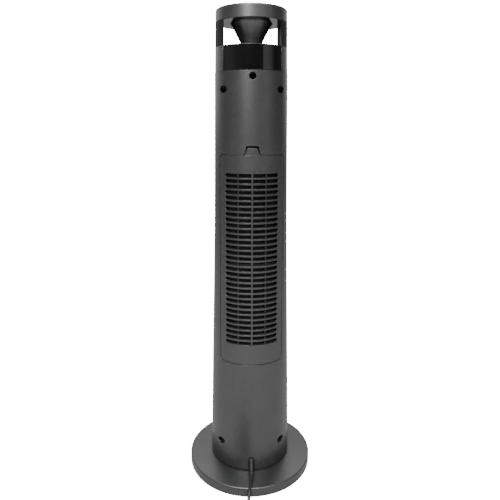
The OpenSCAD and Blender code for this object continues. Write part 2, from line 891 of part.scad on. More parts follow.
module head_shell() color("dimgray") {
    z0 = column_top_z + snug;
    difference() {
        head_tube(z0, band_top_z, 0, shell_t);
        for (side = [-1, 1]) intersection() {
            head_tube(z0 - 1, band_top_z + 1, -1, lens_t + snug);
            wedge(band_angle, side, z0 - 2, band_top_z + 2);
        }
        translate([-24, -100, column_top_z + 12]) cube([48, 60, band_h - 22]);
    }
}

module band(side) {
    intersection() {
        head_tube(column_top_z + 0.6, band_top_z, 0, lens_t);
        wedge(band_angle - 0.3, side, column_top_z, band_top_z);
    }
}

module band_rear() color("black") band(1);
module band_front() color("black") band(-1);

module deck() color("black") {
    difference() {
        translate([0, 0, band_top_z - 2.6])
            cylinder(r = head_r(band_top_z) - shell_t - snug, h = 2.2);
        translate([head_r(cap_foot_z) - pillar_t / 2, 0, 0])
            cylinder(r = loom_r + 0.6, h = total_h, $fn = 24);
    }
}

// One pillar, cut back to a flat side so that the opening runs straight through
module pillar(side) {
    inner = head_r(cap_foot_z) - pillar_t;
    flat_x = min(head_r(band_top_z) * sin(band_angle) - 0.9, inner - 0.4);
    difference() {
        intersection() {
            rotate_extrude()
                polygon([
                    [inner, band_top_z], [head_r(band_top_z), band_top_z],
                    [head_r(cap_foot_z), cap_foot_z], [inner, cap_foot_z]]);
            translate([side > 0 ? flat_x : -flat_x - 40, -60, 0]) cube([40, 120, total_h]);
        }
        translate([side * (head_r(cap_foot_z) - pillar_t / 2), 0, 0])
            cylinder(r = loom_r + 0.6, h = total_h, $fn = 24);
    }
}

module pillar_left() color("black") pillar(1);
module pillar_right() color("black") pillar(-1);

cone_z0 = band_top_z - 0.4;
cone_t = 2;
function cone_r(u) = cone_r_foot + (cone_r_top - cone_r_foot) * pow(u, 1.2);
module cone() color("dimgray") {
    steps = 8;
    h = cap_foot_z - cone_z0;
    rotate_extrude()
        polygon(concat(
            [for (i = [0 : steps]) [cone_r(i / steps), cone_z0 + h * i / steps]],
            [for (i = [steps : -1 : 0]) [cone_r(i / steps) - cone_t, cone_z0 + h * i / steps]]));
}

module underside_plate() color("black") {
    loom_at = head_r(cap_foot_z) - pillar_t / 2;
    translate([0, 0, cap_foot_z]) difference() {
        cylinder(r = head_r(cap_foot_z) - wall - snug, h = underside_t);
        translate([0, 0, -1]) cylinder(r = cone_r_top - cone_t - 2, h = 4);
        translate([loom_at, 0, -1]) cylinder(r = loom_r + 0.6, h = 4, $fn = 24);
    }
}

panel_t = 2.4;
panel_top_z = total_h - 0.8;
ledge_z = panel_top_z - panel_t - 2;
module top_cap() color("dimgray") {
    top_r = head_r(total_h);
    rotate_extrude($fn = 128)
        polygon(concat(
            [[head_r(cap_foot_z) - wall, cap_foot_z], [head_r(cap_foot_z), cap_foot_z]],
            [for (a = [0 : 15 : 90]) [
                top_r - cap_edge_r + cap_edge_r * cos(a),
                total_h - cap_edge_r + cap_edge_r * sin(a)]],
            [[panel_r + snug, total_h], [panel_r + snug, ledge_z + 2],
             [panel_r - 5, ledge_z + 2], [panel_r - 5, ledge_z],
             [top_r - wall, ledge_z]]));
}

button_z = panel_top_z - panel_t - touch;
stem_h = 6;
switch_h = 3.6;
board_z = button_z - 1.3 - stem_h - button_travel - touch - switch_h;
function button_at(i) =
    let (a = 270 + (i - (button_count - 1) / 2) * button_step)
    [button_arc_r * cos(a), button_arc_r * sin(a)];

module control_panel() color("black") {
    difference() {
        union() {
            translate([0, 0, panel_top_z - panel_t]) cylinder(r = panel_r, h = panel_t);
            for (a = [5, 90, 175]) rotate(a)
                translate([panel_r - 9, 0, board_z + 1.6])
                    cylinder(r = 2.6, h = panel_top_z - panel_t - board_z - 1.6, $fn = 32);
        }
        for (i = [0 : button_count - 1])
            translate([button_at(i)[0], button_at(i)[1], panel_top_z - panel_t - 1])
                cylinder(r = button_r + button_gap, h = panel_t + 2);
    }
}

module button_board() color("darkgreen") {
    translate([0, 0, board_z]) {
        cylinder(r = panel_r - 6, h = 1.6);
        for (i = [0 : button_count - 1])
            translate([button_at(i)[0] - 3, button_at(i)[1] - 3, 0]) cube([6, 6, switch_h]);
    }
}

module button(i) {
    translate([button_at(i)[0], button_at(i)[1], 0]) {
        translate([0, 0, button_z - 1.3]) cylinder(r = button_r + 1.2, h = 1.3);
        translate([0, 0, button_z - 1.3])
            cylinder(r = button_r, h = 1.3 + touch + panel_t + 0.7);
        translate([0, 0, button_z - 1.3 - stem_h]) cylinder(r = 2, h = stem_h + 1, $fn = 32);
    }
}

module button_1() color("gray") button(0);
module button_2() color("gray") button(1);
module button_3() color("gray") button(2);
module button_4() color("gray") button(3);
module button_5() color("gray") button(4);

module display_board() color("darkgreen") {
    y = head_r(band_top_z) - shell_t - 7;
    translate([-27, -y, column_top_z + 6]) cube([54, 1.6, band_h - 12]);
    translate([-19, -y - 3.4, column_top_z + band_h / 2 - 8]) cube([38, 3.4, 16]);
}

// ---------------------------------------------------------------- mains cord

function unit(v) = v / norm(v);

// The route of the free cord from the strain relief to the coil, on the base and the floor
lead_points = [
    [0, 96, 32], [0.5, 101, 28.8], [1.3, 107, 26.4], [2.2, 113, 25], [3.2, 119, 24.4],
    [4.3, 125, 23.4], [5.4, 131, 21], [6.5, 137, 17], [7.5, 143, 12.4], [8.4, 149, 8.4],
    [9.1, 155, 5.6], [9.6, 162, 4], [9.9, 170, 3.6], [10, 180, 3.6], [10, 190, 3.6]];
// The route from the coil to the plug
tail_points = [
    [98, 228, 10], [103, 219.5, 9.8], [108, 211, 9.4], [111.6, 203.5, 8.8],
    [114, 196, 8.2], [115, 189, 8]];
coil_at = [55.75, 210];
coil_in = coil_r - coil_columns * cord_d / 2 - 0.3;
coil_out = coil_r + coil_columns * cord_d / 2 + 0.3;
coil_h = coil_layers * cord_d + 0.6;
boot_root = [0, 74, 46.2];
boot_tip = lead_points[0] + 2 * snug * unit(boot_root - lead_points[0]);
boot_r_root = 5.4;
boot_r_tip = cord_d / 2 + 0.6;

function along(p, i) =
    unit(p[min(i + 1, len(p) - 1)] - p[max(i - 1, 0)]);

// A tube of eight sides swept along a list of points
module swept_tube(points, r) {
    sides = 8;
    n = len(points);
    rings = [for (i = [0 : n - 1])
        let (t = along(points, i), u = unit(cross(t, [1, 0.2, 0.1])), v = cross(t, u))
        for (k = [0 : sides - 1])
            points[i] + r * (cos(k * 360 / sides) * u + sin(k * 360 / sides) * v)];
    polyhedron(rings, concat(
        [[for (k = [0 : sides - 1]) k]],
        [[for (k = [sides - 1 : -1 : 0]) (n - 1) * sides + k]],
        [for (i = [0 : n - 2], k = [0 : sides - 1])
            let (a = i * sides + k, b = i * sides + (k + 1) % sides)
            [b, a, a + sides, b + sides]]));
}

module strain_relief() color("black") {
    outer = body_r(30);
    run = boot_tip - boot_root;
    difference() {
        union() {
            intersection() {
                through() cord_arch(cord_notch_w - 2 * snug);
                column_tube(1, 4.4);
            }
            intersection() {
                translate([-cord_notch_w / 2 - 3, outer - 12, column_foot_z + 3])
                    cube([cord_notch_w + 6, 9, cord_notch_h - column_foot_z]);
                column_tube(wall + snug, wall + 3);
            }
            translate(boot_root) rotate([-90 - atan2(-run[2], run[1]), 0, 0])
                cylinder(r1 = boot_r_root, r2 = boot_r_tip, h = norm(run), $fn = 48);
        }
        translate([-50, 0, 0]) cube([100, 200, column_foot_z + 0.4]);
    }
}

module cord_lead() color("black") swept_tube(lead_points, cord_d / 2);
module cord_tail() color("black") swept_tube(tail_points, cord_d / 2);

tie_w = 6;
tie_t = 0.7;
tie_slack = 0.3;

module cord_coil() color("black") {
    difference() {
        translate([coil_at[0], coil_at[1], 0]) rotate_extrude()
            polygon([
                [coil_in, 2], [coil_in + 2, 0], [coil_out - 2, 0], [coil_out, 2],
                [coil_out, coil_h - 2], [coil_out - 2, coil_h], [coil_in + 2, coil_h],
                [coil_in, coil_h - 2]]);
        translate([coil_at[0] - tie_w / 2, coil_at[1] - coil_out - 5, -1])
            cube([tie_w, coil_out - coil_in + 10, 1 + tie_t]);
    }
}

module cord_tie() color("black") {
    translate([coil_at[0] - tie_w / 2, coil_at[1] - coil_out - tie_t, 0]) difference() {
        cube([tie_w, coil_out - coil_in + tie_slack + 2 * tie_t, coil_h + tie_t]);
        translate([-1, tie_t, tie_t])
            cube([tie_w + 2, coil_out - coil_in + tie_slack, coil_h - tie_t]);
    }
}

plug_w = 21;
plug_h = 16;
plug_l = 27;
plug_at = [115, 189];
plug_z = plug_h / 2;
pin_l = 15.5;
module plug_body() color("black") {
    translate([plug_at[0], plug_at[1], plug_z]) {
        rotate([90, 0, 0]) cylinder(r1 = cord_d / 2, r2 = cord_d / 2 + 2.4, h = 13, $fn = 48);
        translate([0, -12, 0]) rotate([90, 0, 0]) intersection() {
            cylinder(r = plug_w / 2, h = plug_l - 12);
            translate([-plug_w / 2, -plug_h / 2, 0]) cube([plug_w, plug_h, plug_l]);
        }
    }
}

module plug_pins() color("silver") {
    for (x = [-6.35, 6.35])
        translate([plug_at[0] + x - 0.75, plug_at[1] - plug_l - pin_l, plug_z - 3.2])
            cube([1.5, pin_l, 6.4]);
}

base_cover();
base_plate();
ballast_ring();
rubber_feet();
base_screws();
swivel_post();
post_screws();
swivel_gear();
retaining_ring();
glide_ring();
turntable();
turntable_screws();
front_casing();
rear_casing();
front_grille();
casing_screws();
vent_door();
filter_frame();
filter_mesh();
door_latch();
blower_floor();
blower_ceiling();
scroll_wall();
vortex_wall();
blower_wheel();
wheel_shaft();
fan_motor();
motor_screws();
bearing_bush();
swing_motor();
swing_bracket();
swing_pinion();
main_board();
wiring_loom();
strain_relief();
head_shell();
band_rear();
band_front();
deck();
pillar_left();
pillar_right();
cone();
underside_plate();
top_cap();
control_panel();
button_board();
display_board();
button_1();
button_2();
button_3();
button_4();
button_5();
cord_lead();
cord_coil();
cord_tail();
cord_tie();
plug_body();
plug_pins();
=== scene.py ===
import json
import math

import bpy
import numpy as np
from bpy.props import (FloatProperty, FloatVectorProperty, IntProperty,
                       PointerProperty)
from mathutils import Matrix, Vector
from mathutils.geometry import delaunay_2d_cdt


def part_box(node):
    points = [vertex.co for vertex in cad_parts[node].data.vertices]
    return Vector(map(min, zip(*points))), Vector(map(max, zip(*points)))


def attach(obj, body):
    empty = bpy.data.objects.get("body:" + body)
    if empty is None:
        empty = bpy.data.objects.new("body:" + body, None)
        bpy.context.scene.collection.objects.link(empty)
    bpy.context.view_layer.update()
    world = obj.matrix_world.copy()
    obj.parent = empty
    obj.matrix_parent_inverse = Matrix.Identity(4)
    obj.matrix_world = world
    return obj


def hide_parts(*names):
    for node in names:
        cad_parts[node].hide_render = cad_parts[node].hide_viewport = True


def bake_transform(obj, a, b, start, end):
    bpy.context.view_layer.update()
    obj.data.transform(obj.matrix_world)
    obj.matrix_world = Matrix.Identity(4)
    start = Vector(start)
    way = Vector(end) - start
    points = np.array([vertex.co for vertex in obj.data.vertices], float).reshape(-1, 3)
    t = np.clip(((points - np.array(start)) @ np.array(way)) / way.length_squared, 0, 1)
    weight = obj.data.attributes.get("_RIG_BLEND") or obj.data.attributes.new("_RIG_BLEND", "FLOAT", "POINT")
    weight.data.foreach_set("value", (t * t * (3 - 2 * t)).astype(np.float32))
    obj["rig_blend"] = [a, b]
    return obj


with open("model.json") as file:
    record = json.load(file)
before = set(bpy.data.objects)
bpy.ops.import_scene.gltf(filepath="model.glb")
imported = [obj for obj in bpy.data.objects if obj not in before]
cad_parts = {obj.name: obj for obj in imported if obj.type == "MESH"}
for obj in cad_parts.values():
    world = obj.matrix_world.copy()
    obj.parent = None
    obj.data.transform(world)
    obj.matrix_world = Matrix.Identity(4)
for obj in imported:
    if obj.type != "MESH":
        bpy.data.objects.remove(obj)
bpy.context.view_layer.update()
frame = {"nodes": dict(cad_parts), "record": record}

bl_info = {
    "name": "Tower Fan Looks",
    "version": (1, 0, 0),
    "blender": (4, 5, 0),
    "location": "View3D > Sidebar > Tower Fan",
    "description": "Builds the shells, vents, head, cord and finishes of a tower fan",
    "category": "Object",
}

CASING_LOW, CASING_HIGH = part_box("rear_casing")
DOOR_LOW, DOOR_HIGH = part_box("vent_door")
BAND_LOW, BAND_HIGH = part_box("band_rear")
CAP_LOW, CAP_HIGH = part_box("top_cap")
BASE_LOW, BASE_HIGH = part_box("base_cover")
GRILLE_LOW, GRILLE_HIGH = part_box("front_grille")
WHEEL_LOW, WHEEL_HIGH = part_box("blower_wheel")
PANEL_LOW, PANEL_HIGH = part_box("control_panel")
COIL_LOW, COIL_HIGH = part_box("cord_coil")
COLUMN_FOOT = CASING_LOW.z
COLUMN_TOP = CASING_HIGH.z
DOOR_TOP = COLUMN_TOP - 0.1504
DOOR_FOOT = 0.248


# ------------------------------------------------------------------ settings

def length(name, description, default):
    return FloatProperty(name=name, description=description, default=default,
                         min=0.0, unit="LENGTH", precision=4)


def angle(name, description, degrees):
    return FloatProperty(name=name, description=description,
                         default=math.radians(degrees), subtype="ANGLE")


def colour(name, description, default):
    return FloatVectorProperty(name=name, description=description, default=default,
                               min=0.0, max=1.0, subtype="COLOR", size=3)


def power(name, description, value):
    return FloatProperty(name=name, description=description, default=value, min=0.0, max=500.0)


def share(name, description, default):
    return FloatProperty(name=name, description=description, default=default,
                         min=0.0, max=1.0, subtype="FACTOR")


class FanColumnSettings(bpy.types.PropertyGroup):
    radius_top: length("Top radius", "Radius of the column at its top", 0.069)
    radius_foot: length("Foot radius", "Radius of the column at its foot", CASING_HIGH.x)
    flare_start: share("Flare start", "Where the flare begins, from the top", 0.27)
    flare_share: share("Flare share", "Share of the taper that the flare takes", 0.4)
    wall: length("Wall", "Thickness of the moulded casings", 0.0026)
    edge: length("Edge", "Rounding of the casings' edges", 0.0005)
    seam: length("Seam", "Gap between the two casings", 0.0002)
    recess: length("Recess radius", "Radius of a screw recess", 0.0064)
    seat: length("Seat", "How far the screw seats lie behind the seam", 0.014)


class FanVentSettings(bpy.types.PropertyGroup):
    half_width: length("Half width", "Half of the width of the vent door", 0.05957)
    corner: length("Corner", "Corner radius of the door", 0.0075)
    gap: length("Gap", "Gap round the door", 0.0011)
    slot_height: length("Slot height", "Height of one air slot", 0.0072)
    slot_pitch: length("Slot pitch", "Distance from slot to slot", 0.0104)
    slot_reach: length("Slot reach", "Distance from the middle to a slot's end", 0.04997)
    slot_top: length("First slot", "Height of the first slot's middle",
                     DOOR_TOP - 0.0334 - 0.0036)
    slot_count: IntProperty(name="Slots", description="Number of slots", default=32,
                            min=1, max=60)
    slat_depth: length("Slat depth", "Depth of the slats", 0.006)
    mid_rib: length("Middle rib", "Width of the middle rib", 0.003)
    side_rib: length("Side rib", "Width of a side rib", 0.002)


class FanHeadSettings(bpy.types.PropertyGroup):
    inset: length("Inset", "Step in radius from the column to the head", 0.0005)
    taper: length("Taper", "Loss of radius from the foot of the head to its top", 0.002)
    band_angle: angle("Band angle", "Half of the angle that a glossy band covers", 51.5)
    band_gap: angle("Band gap", "Gap beside a band, as an angle", 0.3)
    pillar_depth: length("Pillar depth", "Radial depth of a pillar", 0.011)
    cone_foot: length("Cone foot", "Radius of the cone at its foot", 0.0168)
    cone_top: length("Cone top", "Radius of the cone at its top", 0.0394)
    button_radius: length("Button radius", "Radius of a button", 0.0065)


class FanCordSettings(bpy.types.PropertyGroup):
    diameter: length("Diameter", "Diameter of the mains cord", 0.0065)
    coil_middle: length("Coil radius", "Middle radius of the coil", 0.036)
    columns: IntProperty(name="Columns", description="Turns side by side in the coil",
                         default=4, min=1, max=8)
    sides: IntProperty(name="Sides", description="Sides of the cord's tube", default=14,
                       min=6, max=32)


class FanFinishSettings(bpy.types.PropertyGroup):
    casing: colour("Casing", "Colour of the grey casing", (0.105, 0.105, 0.108))
    black: colour("Black", "Colour of the black plastic", (0.018, 0.018, 0.019))
    gloss: colour("Gloss", "Colour of the glossy black", (0.004, 0.004, 0.0045))
    casing_roughness: share("Casing roughness", "Roughness of the grey casing", 0.37)
    casing_metal: share("Casing metal", "Share of metal flake in the casing", 0.85)


class FanStageSettings(bpy.types.PropertyGroup):
    distance: length("Distance", "Level distance of the camera from the fan", 0.965)
    height: length("Height", "Height of the camera", 0.708)
    bearing: angle("Bearing", "How far the camera stands to the +X side", 2.4)
    pitch: angle("Pitch", "How far the camera looks down", 9.74)
    focal: FloatProperty(name="Focal length", description="Focal length in millimetres",
                         default=35.54, min=10.0, max=200.0)
    backdrop: colour("Backdrop", "Colour of the backdrop", (1.0, 1.0, 1.0))
    floor: colour("Floor", "Colour of the floor", (0.5, 0.5, 0.5))
    backdrop_glow: power("Backdrop glow", "Strength of the backdrop", 18.0)
    floor_glow: power("Floor glow", "Strength that the camera sees in the floor", 17.5)
    surround: power("Surround", "Strength of the panels round the fan", 0.7)
    overhead: power("Overhead", "Strength of the light from above", 0.5)
    key_power: power("Key power", "Power of the lamp over the camera", 42.0)
    front_power: power("Front power", "Power of the wide lamp over the camera", 105.0)
    back_power: power("Back power", "Power of the lamp behind the fan", 20.0)


# ------------------------------------------------------------------ node maths

class Wire:
    """An output socket that takes part in plain arithmetic inside its node tree."""

    def __init__(self, tree, socket):
        self.tree = tree
        self.socket = socket

    def maths(self, operation, *values):
        return node(self.tree, "ShaderNodeMath", {"operation": operation},
                    dict(enumerate(values)))

    def __add__(self, other):
        return self.maths("ADD", self, other)

    __radd__ = __add__

    def __sub__(self, other):
        return self.maths("SUBTRACT", self, other)

    def __rsub__(self, other):
        return self.maths("SUBTRACT", other, self)

    def __mul__(self, other):
        return self.maths("MULTIPLY", self, other)

    __rmul__ = __mul__

    def __truediv__(self, other):
        return self.maths("DIVIDE", self, other)

    def __rtruediv__(self, other):
        return self.maths("DIVIDE", other, self)

    def __pow__(self, other):
        return self.maths("POWER", self, other)

    def clamp(self, low=0.0, high=1.0):
        return self.maths("MINIMUM", self.maths("MAXIMUM", self, low), high)


def node(tree, kind, settings=None, sockets=None, output=0):
    """Adds a node: its settings first, then the values or links of its sockets."""
    made = tree.nodes.new(kind)
    for key, value in (settings or {}).items():
        if key == "stops":
            ramp = made.color_ramp
            while len(ramp.elements) < len(value):
                ramp.elements.new(1.0)
            for element, (place, shade) in zip(ramp.elements, value):
                element.position = place
                element.color = (*shade, 1.0)
        else:
            setattr(made, key, value)
    for key, value in (sockets or {}).items():
        socket = made.inputs[key]
        if isinstance(value, Wire):
            tree.links.new(value.socket, socket)
        elif hasattr(value, "bl_rna") or isinstance(value, (int, float, bool)):
            socket.default_value = value
        else:
            size = len(socket.default_value)
            padded = tuple(value) + (1.0,) * (size - len(value))
            socket.default_value = padded
    return Wire(tree, made.outputs[output])


def components(tree, vector):
    """The three parts of a vector."""
    parts = tree.nodes.new("ShaderNodeSeparateXYZ")
    tree.links.new(vector.socket, parts.inputs[0])
    return [Wire(tree, socket) for socket in parts.outputs]


def vector_of(tree, **parts):
    return node(tree, "ShaderNodeCombineXYZ", None, parts)


def link_out(tree, kind, wire):
    """Adds an output node and links the wire to its first socket."""
    tree.links.new(wire.socket, tree.nodes.new(kind).inputs[0])


def blank(data):
    """An empty node tree for a new material or world."""
    data.use_nodes = True
    data.node_tree.nodes.clear()
    return data.node_tree


# ------------------------------------------------------------------ meshes

def smooth_step(u):
    u = max(0.0, min(1.0, u))
    return u * u * (3 - 2 * u)


def column_radius(column, z):
    t = (COLUMN_TOP - z) / (COLUMN_TOP - COLUMN_FOOT)
    flare = smooth_step((t - column.flare_start) / (1 - column.flare_start))
    spread = (1 - column.flare_share) * t + column.flare_share * flare
    return column.radius_top + (column.radius_foot - column.radius_top) * spread


def head_radius(column, head, z):
    fall = (z - COLUMN_TOP) / (CAP_HIGH.z - COLUMN_TOP)
    return column.radius_top - head.inset - head.taper * fall


class RoundWall:
    """A wall round the Z axis, drawn flat as (arc length, height) at a fixed radius."""

    def __init__(self, radius_at, reference, turn=0.0):
        self.radius_at = radius_at
        self.reference = reference
        self.turn = turn

    def point(self, s, z, depth=0.0):
        a = s / self.reference + self.turn
        r = self.radius_at(z) - depth
        return Vector((r * math.sin(a), r * math.cos(a), z))

    def axes(self, s, z):
        a = s / self.reference + self.turn
        slope = (self.radius_at(z + 0.001) - self.radius_at(z - 0.001)) / 0.002
        out = Vector((math.sin(a), math.cos(a), -slope)).normalized()
        along = Vector((math.cos(a), -math.sin(a), 0))
        up = Vector((slope * math.sin(a), slope * math.cos(a), 1)).normalized()
        return out, along, up

    def arc(self, x, z):
        ratio = max(-1.0, min(1.0, x / self.radius_at(z)))
        return self.reference * math.asin(ratio)

    def lay(self, outline):
        return [(self.arc(x, z), z) for x, z in outline]


class Sheet:
    """Collects vertices, faces and the normal of each face corner."""

    def __init__(self):
        self.points, self.faces, self.normals = [], [], []

    def add(self, point):
        self.points.append(Vector(point))
        return len(self.points) - 1

    def face(self, corners, normals=None):
        kept, kept_normals = [], []
        for i, corner in enumerate(corners):
            if corner not in kept:
                kept.append(corner)
                kept_normals.append(normals[i] if normals else None)
        if len(kept) < 3:
            return
        if normals is None or any(n is None for n in kept_normals):
            a, b, c = (self.points[k] for k in kept[:3])
            flat = (b - a).cross(c - a)
            if len(kept) == 4:
                flat += (c - a).cross(self.points[kept[3]] - a)
            flat.normalize()
            kept_normals = [flat] * len(kept)
        self.faces.append(kept)
        self.normals.extend(kept_normals)

    def mesh(self, name):
        mesh = bpy.data.meshes.new(name)
        mesh.from_pydata(self.points, [], self.faces)
        mesh.polygons.foreach_set("use_smooth", [True] * len(self.faces))
        mesh.normals_split_custom_set([tuple(n) for n in self.normals])
        mesh.update()
        return mesh


def settle(name, shape, material, body, slot, *replaced):
    """Makes a finished piece of a sheet or a mesh: material, body and the nodes it
    replaces; the slot argument is not used."""
    mesh = shape.mesh(name) if isinstance(shape, Sheet) else shape
    piece = bpy.data.objects.new(name, mesh)
    bpy.context.scene.collection.objects.link(piece)
    mesh.materials.clear()
    mesh.materials.append(material)
    if body:
        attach(piece, body)
    if replaced:
        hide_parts(*replaced)
    return piece


def spaced(outline, step_x=0.0025, step_z=0.012):
    """Adds points on the long edges of a closed outline."""
    points = []
    for (x0, z0), (x1, z1) in zip(outline, outline[1:] + outline[:1]):
        count = max(1, math.ceil(abs(x1 - x0) / step_x), math.ceil(abs(z1 - z0) / step_z))
        points += [(x0 + (x1 - x0) * i / count, z0 + (z1 - z0) * i / count)
                   for i in range(count)]
    return points


def rectangle(x0, z0, x1, z1):
    """An anticlockwise rectangle with points along its edges."""
    return spaced([(x0, z0), (x1, z0), (x1, z1), (x0, z1)])


def inset_loop(loop, distance):
    """Moves a closed loop to its left, and gives the left direction at each point."""
    pts = np.array(loop)
    ahead = np.roll(pts, -1, 0) - pts
    ahead /= np.linalg.norm(ahead, axis=1)[:, None]
    behind = np.roll(ahead, 1, 0)
    left_a = np.stack([-ahead[:, 1], ahead[:, 0]], 1)
    left_b = np.stack([-behind[:, 1], behind[:, 0]], 1)
    both = left_a + left_b
    both /= np.linalg.norm(both, axis=1)[:, None]
    stretch = 1 / np.maximum(0.5, (both * left_a).sum(1))
    return pts + both * (stretch * distance)[:, None], both


def inside(points, loop):
    """Even-odd test of many points against one closed loop."""
    a = np.array(loop)
    b = np.roll(a, -1, 0)
    found = np.zeros(len(points), bool)
    for (x0, z0), (x1, z1) in zip(a, b):
        if z0 == z1:
            continue
        crosses = (points[:, 1] > min(z0, z1)) & (points[:, 1] <= max(z0, z1))
        at = x0 + (points[:, 1] - z0) * (x1 - x0) / (z1 - z0)
        found ^= crosses & (points[:, 0] < at)
    return found


def near(points, loop, margin):
    """Which points lie within a margin of a closed loop."""
    a = np.array(loop)
    d = np.roll(a, -1, 0) - a
    close = np.zeros(len(points), bool)
    for p, v in zip(a, d):
        t = np.clip(((points - p) @ v) / max(v @ v, 1e-18), 0, 1)
        gap = points - p - t[:, None] * v
        close |= (gap * gap).sum(1) < margin * margin
    return close


def add_cup(sheet, mouth, inner, centre_x, centre_z, floor_y, radius, floor_thick=0.002):
    """Gives a hole a floor at a fixed Y. The mouth lies on the wall's outside and the inner
    ring on its inside; the radius is that of the cup's outside."""
    deep = [sheet.add((sheet.points[k].x, floor_y, sheet.points[k].z)) for k in mouth]
    hub = sheet.add((centre_x, floor_y, centre_z))
    below = Vector((centre_x, floor_y - floor_thick, centre_z))
    rim = []
    for k in mouth:
        away = Vector((sheet.points[k].x - centre_x, 0, sheet.points[k].z - centre_z))
        rim.append(sheet.add(below + away.normalized() * radius))
    under = sheet.add(below)
    for i in range(len(mouth)):
        j = (i + 1) % len(mouth)
        sides = [(sheet.points[hub] - sheet.points[deep[k]]).normalized() for k in (i, j)]
        sheet.face([mouth[i], mouth[j], deep[j], deep[i]],
                   [sides[0], sides[1], sides[1], sides[0]])
        sheet.face([deep[i], deep[j], hub])
        sheet.face([under, rim[j], rim[i]])
        sheet.face([rim[i], rim[j], inner[j], inner[i]])


def skin(sheet, wall, outer, holes, edge, thick, cups=None, depth=0.0, grid=(0.0045, 0.011)):
    """A curved panel with rounded edges. Loops are (arc, height); outer runs
    anticlockwise and holes clockwise. A cup gives a hole a floor at a fixed Y."""
    cups = cups or {}
    loops = [outer] + holes
    insets = [inset_loop(loop, edge) for loop in loops]
    flats = [inset[0] for inset in insets]
    low, high = flats[0].min(0), flats[0].max(0)
    across = np.linspace(low[0], high[0], max(2, int((high[0] - low[0]) / grid[0])) + 1)
    up = np.linspace(low[1], high[1], max(2, int((high[1] - low[1]) / grid[1])) + 1)
    mids = np.array([(s, z) for z in up for s in across])
    keep = inside(mids, flats[0])
    for loop in flats[1:]:
        keep &= ~inside(mids, loop)
    for loop in flats:
        keep &= ~near(mids, loop, 0.0012)
    mids = mids[keep]
    points = [tuple(p) for loop in flats for p in loop]
    edges, starts = [], []
    for loop in flats:
        first = sum(len(l) for l in flats[:len(starts)])
        starts.append(first)
        edges += [(first + i, first + (i + 1) % len(loop)) for i in range(len(loop))]
    points += [tuple(p) for p in mids]
    scaled = [Vector((s * 1000, z * 1000)) for s, z in points]
    found, _, triangles, origin, _, _ = delaunay_2d_cdt(scaled, edges, [], 0, 1e-5)
    flat = np.array([(p.x / 1000, p.y / 1000) for p in found])
    came = {}
    for index, sources in enumerate(origin):
        for source in sources:
            came[source] = index
    triangles = np.array([list(t) for t in triangles])
    centres = flat[triangles].mean(1)
    keep = inside(centres, flats[0])
    for loop in flats[1:]:
        keep &= ~inside(centres, loop)
    triangles = triangles[keep]
    p, q, r = (flat[triangles[:, k]] for k in range(3))
    turned = ((q[:, 0] - p[:, 0]) * (r[:, 1] - p[:, 1])
              - (q[:, 1] - p[:, 1]) * (r[:, 0] - p[:, 0])) < 0
    triangles[turned] = triangles[turned][:, [0, 2, 1]]
    frames = [wall.axes(s, z) for s, z in flat]
    front = [sheet.add(wall.point(s, z, depth)) for s, z in flat]
    back = [sheet.add(wall.point(s, z, depth + thick)) for s, z in flat]
    for a, b, c in triangles:
        sheet.face([front[a], front[c], front[b]],
                   [frames[a][0], frames[c][0], frames[b][0]])
        sheet.face([back[a], back[b], back[c]],
                   [-frames[a][0], -frames[b][0], -frames[c][0]])
    edge_steps = 3
    for which, (loop, (_, left)) in enumerate(zip(loops, insets)):
        count = len(loop)
        frames = [wall.axes(s, z) for s, z in loop]
        voids = [-(f[1] * float(l[0]) + f[2] * float(l[1])).normalized()
                 for l, f in zip(left, frames)]
        rings = [[front[came[starts[which] + i]] for i in range(count)]]
        normals = [[f[0] for f in frames]]
        for k in range(1, edge_steps + 1):
            phi = math.radians(90 * k / edge_steps)
            ring, _ = inset_loop(loop, edge * (1 - math.sin(phi)))
            sunk = depth + edge * (1 - math.cos(phi))
            rings.append([sheet.add(wall.point(s, z, sunk)) for s, z in ring])
            normals.append([(math.cos(phi) * f[0] + math.sin(phi) * v).normalized()
                            for f, v in zip(frames, voids)])
        for k in range(edge_steps):
            for i in range(count):
                j = (i + 1) % count
                sheet.face([rings[k][i], rings[k][j], rings[k + 1][j], rings[k + 1][i]],
                           [normals[k][i], normals[k][j],
                            normals[k + 1][j], normals[k + 1][i]])
        last = rings[-1]
        inner = [back[came[starts[which] + i]] for i in range(count)]
        if which - 1 in cups:
            add_cup(sheet, last, inner, *cups[which - 1])
            continue
        bottom = [sheet.add(wall.point(s, z, depth + thick)) for s, z in loop]
        for i in range(count):
            j = (i + 1) % count
            sheet.face([last[i], last[j], bottom[j], bottom[i]],
                       [voids[i], voids[j], voids[j], voids[i]])
            sheet.face([bottom[i], bottom[j], inner[j], inner[i]])


def rounded(corners, steps=5):
    """Turns corners (r, z, rounding) into points with the normals before and after
    each; a rounding of -1 marks a point on a smooth curve."""
    made = []
    count = len(corners)
    for i, (r, z, rounding) in enumerate(corners):
        here = Vector((r, z))
        before = (here - Vector(corners[i - 1][:2])).normalized()
        after = (Vector(corners[(i + 1) % count][:2]) - here).normalized()
        n0, n1 = Vector((before.y, -before.x)), Vector((after.y, -after.x))
        if rounding < 0:
            middle = (n0 + n1).normalized()
            made.append((here, middle, middle))
        elif rounding == 0:
            made.append((here, n0, n1))
        else:
            half = before.angle(after) / 2
            reach = rounding * math.tan(half)
            turn = 1 if before.cross(after) > 0 else -1
            start = here - before * reach
            centre = start - turn * n0 * rounding
            a0 = math.atan2(turn * n0.y, turn * n0.x)
            for k in range(steps + 1):
                a = a0 + turn * 2 * half * k / steps
                d = Vector((math.cos(a), math.sin(a)))
                made.append((centre + d * rounding, d * turn, d * turn))
    return made


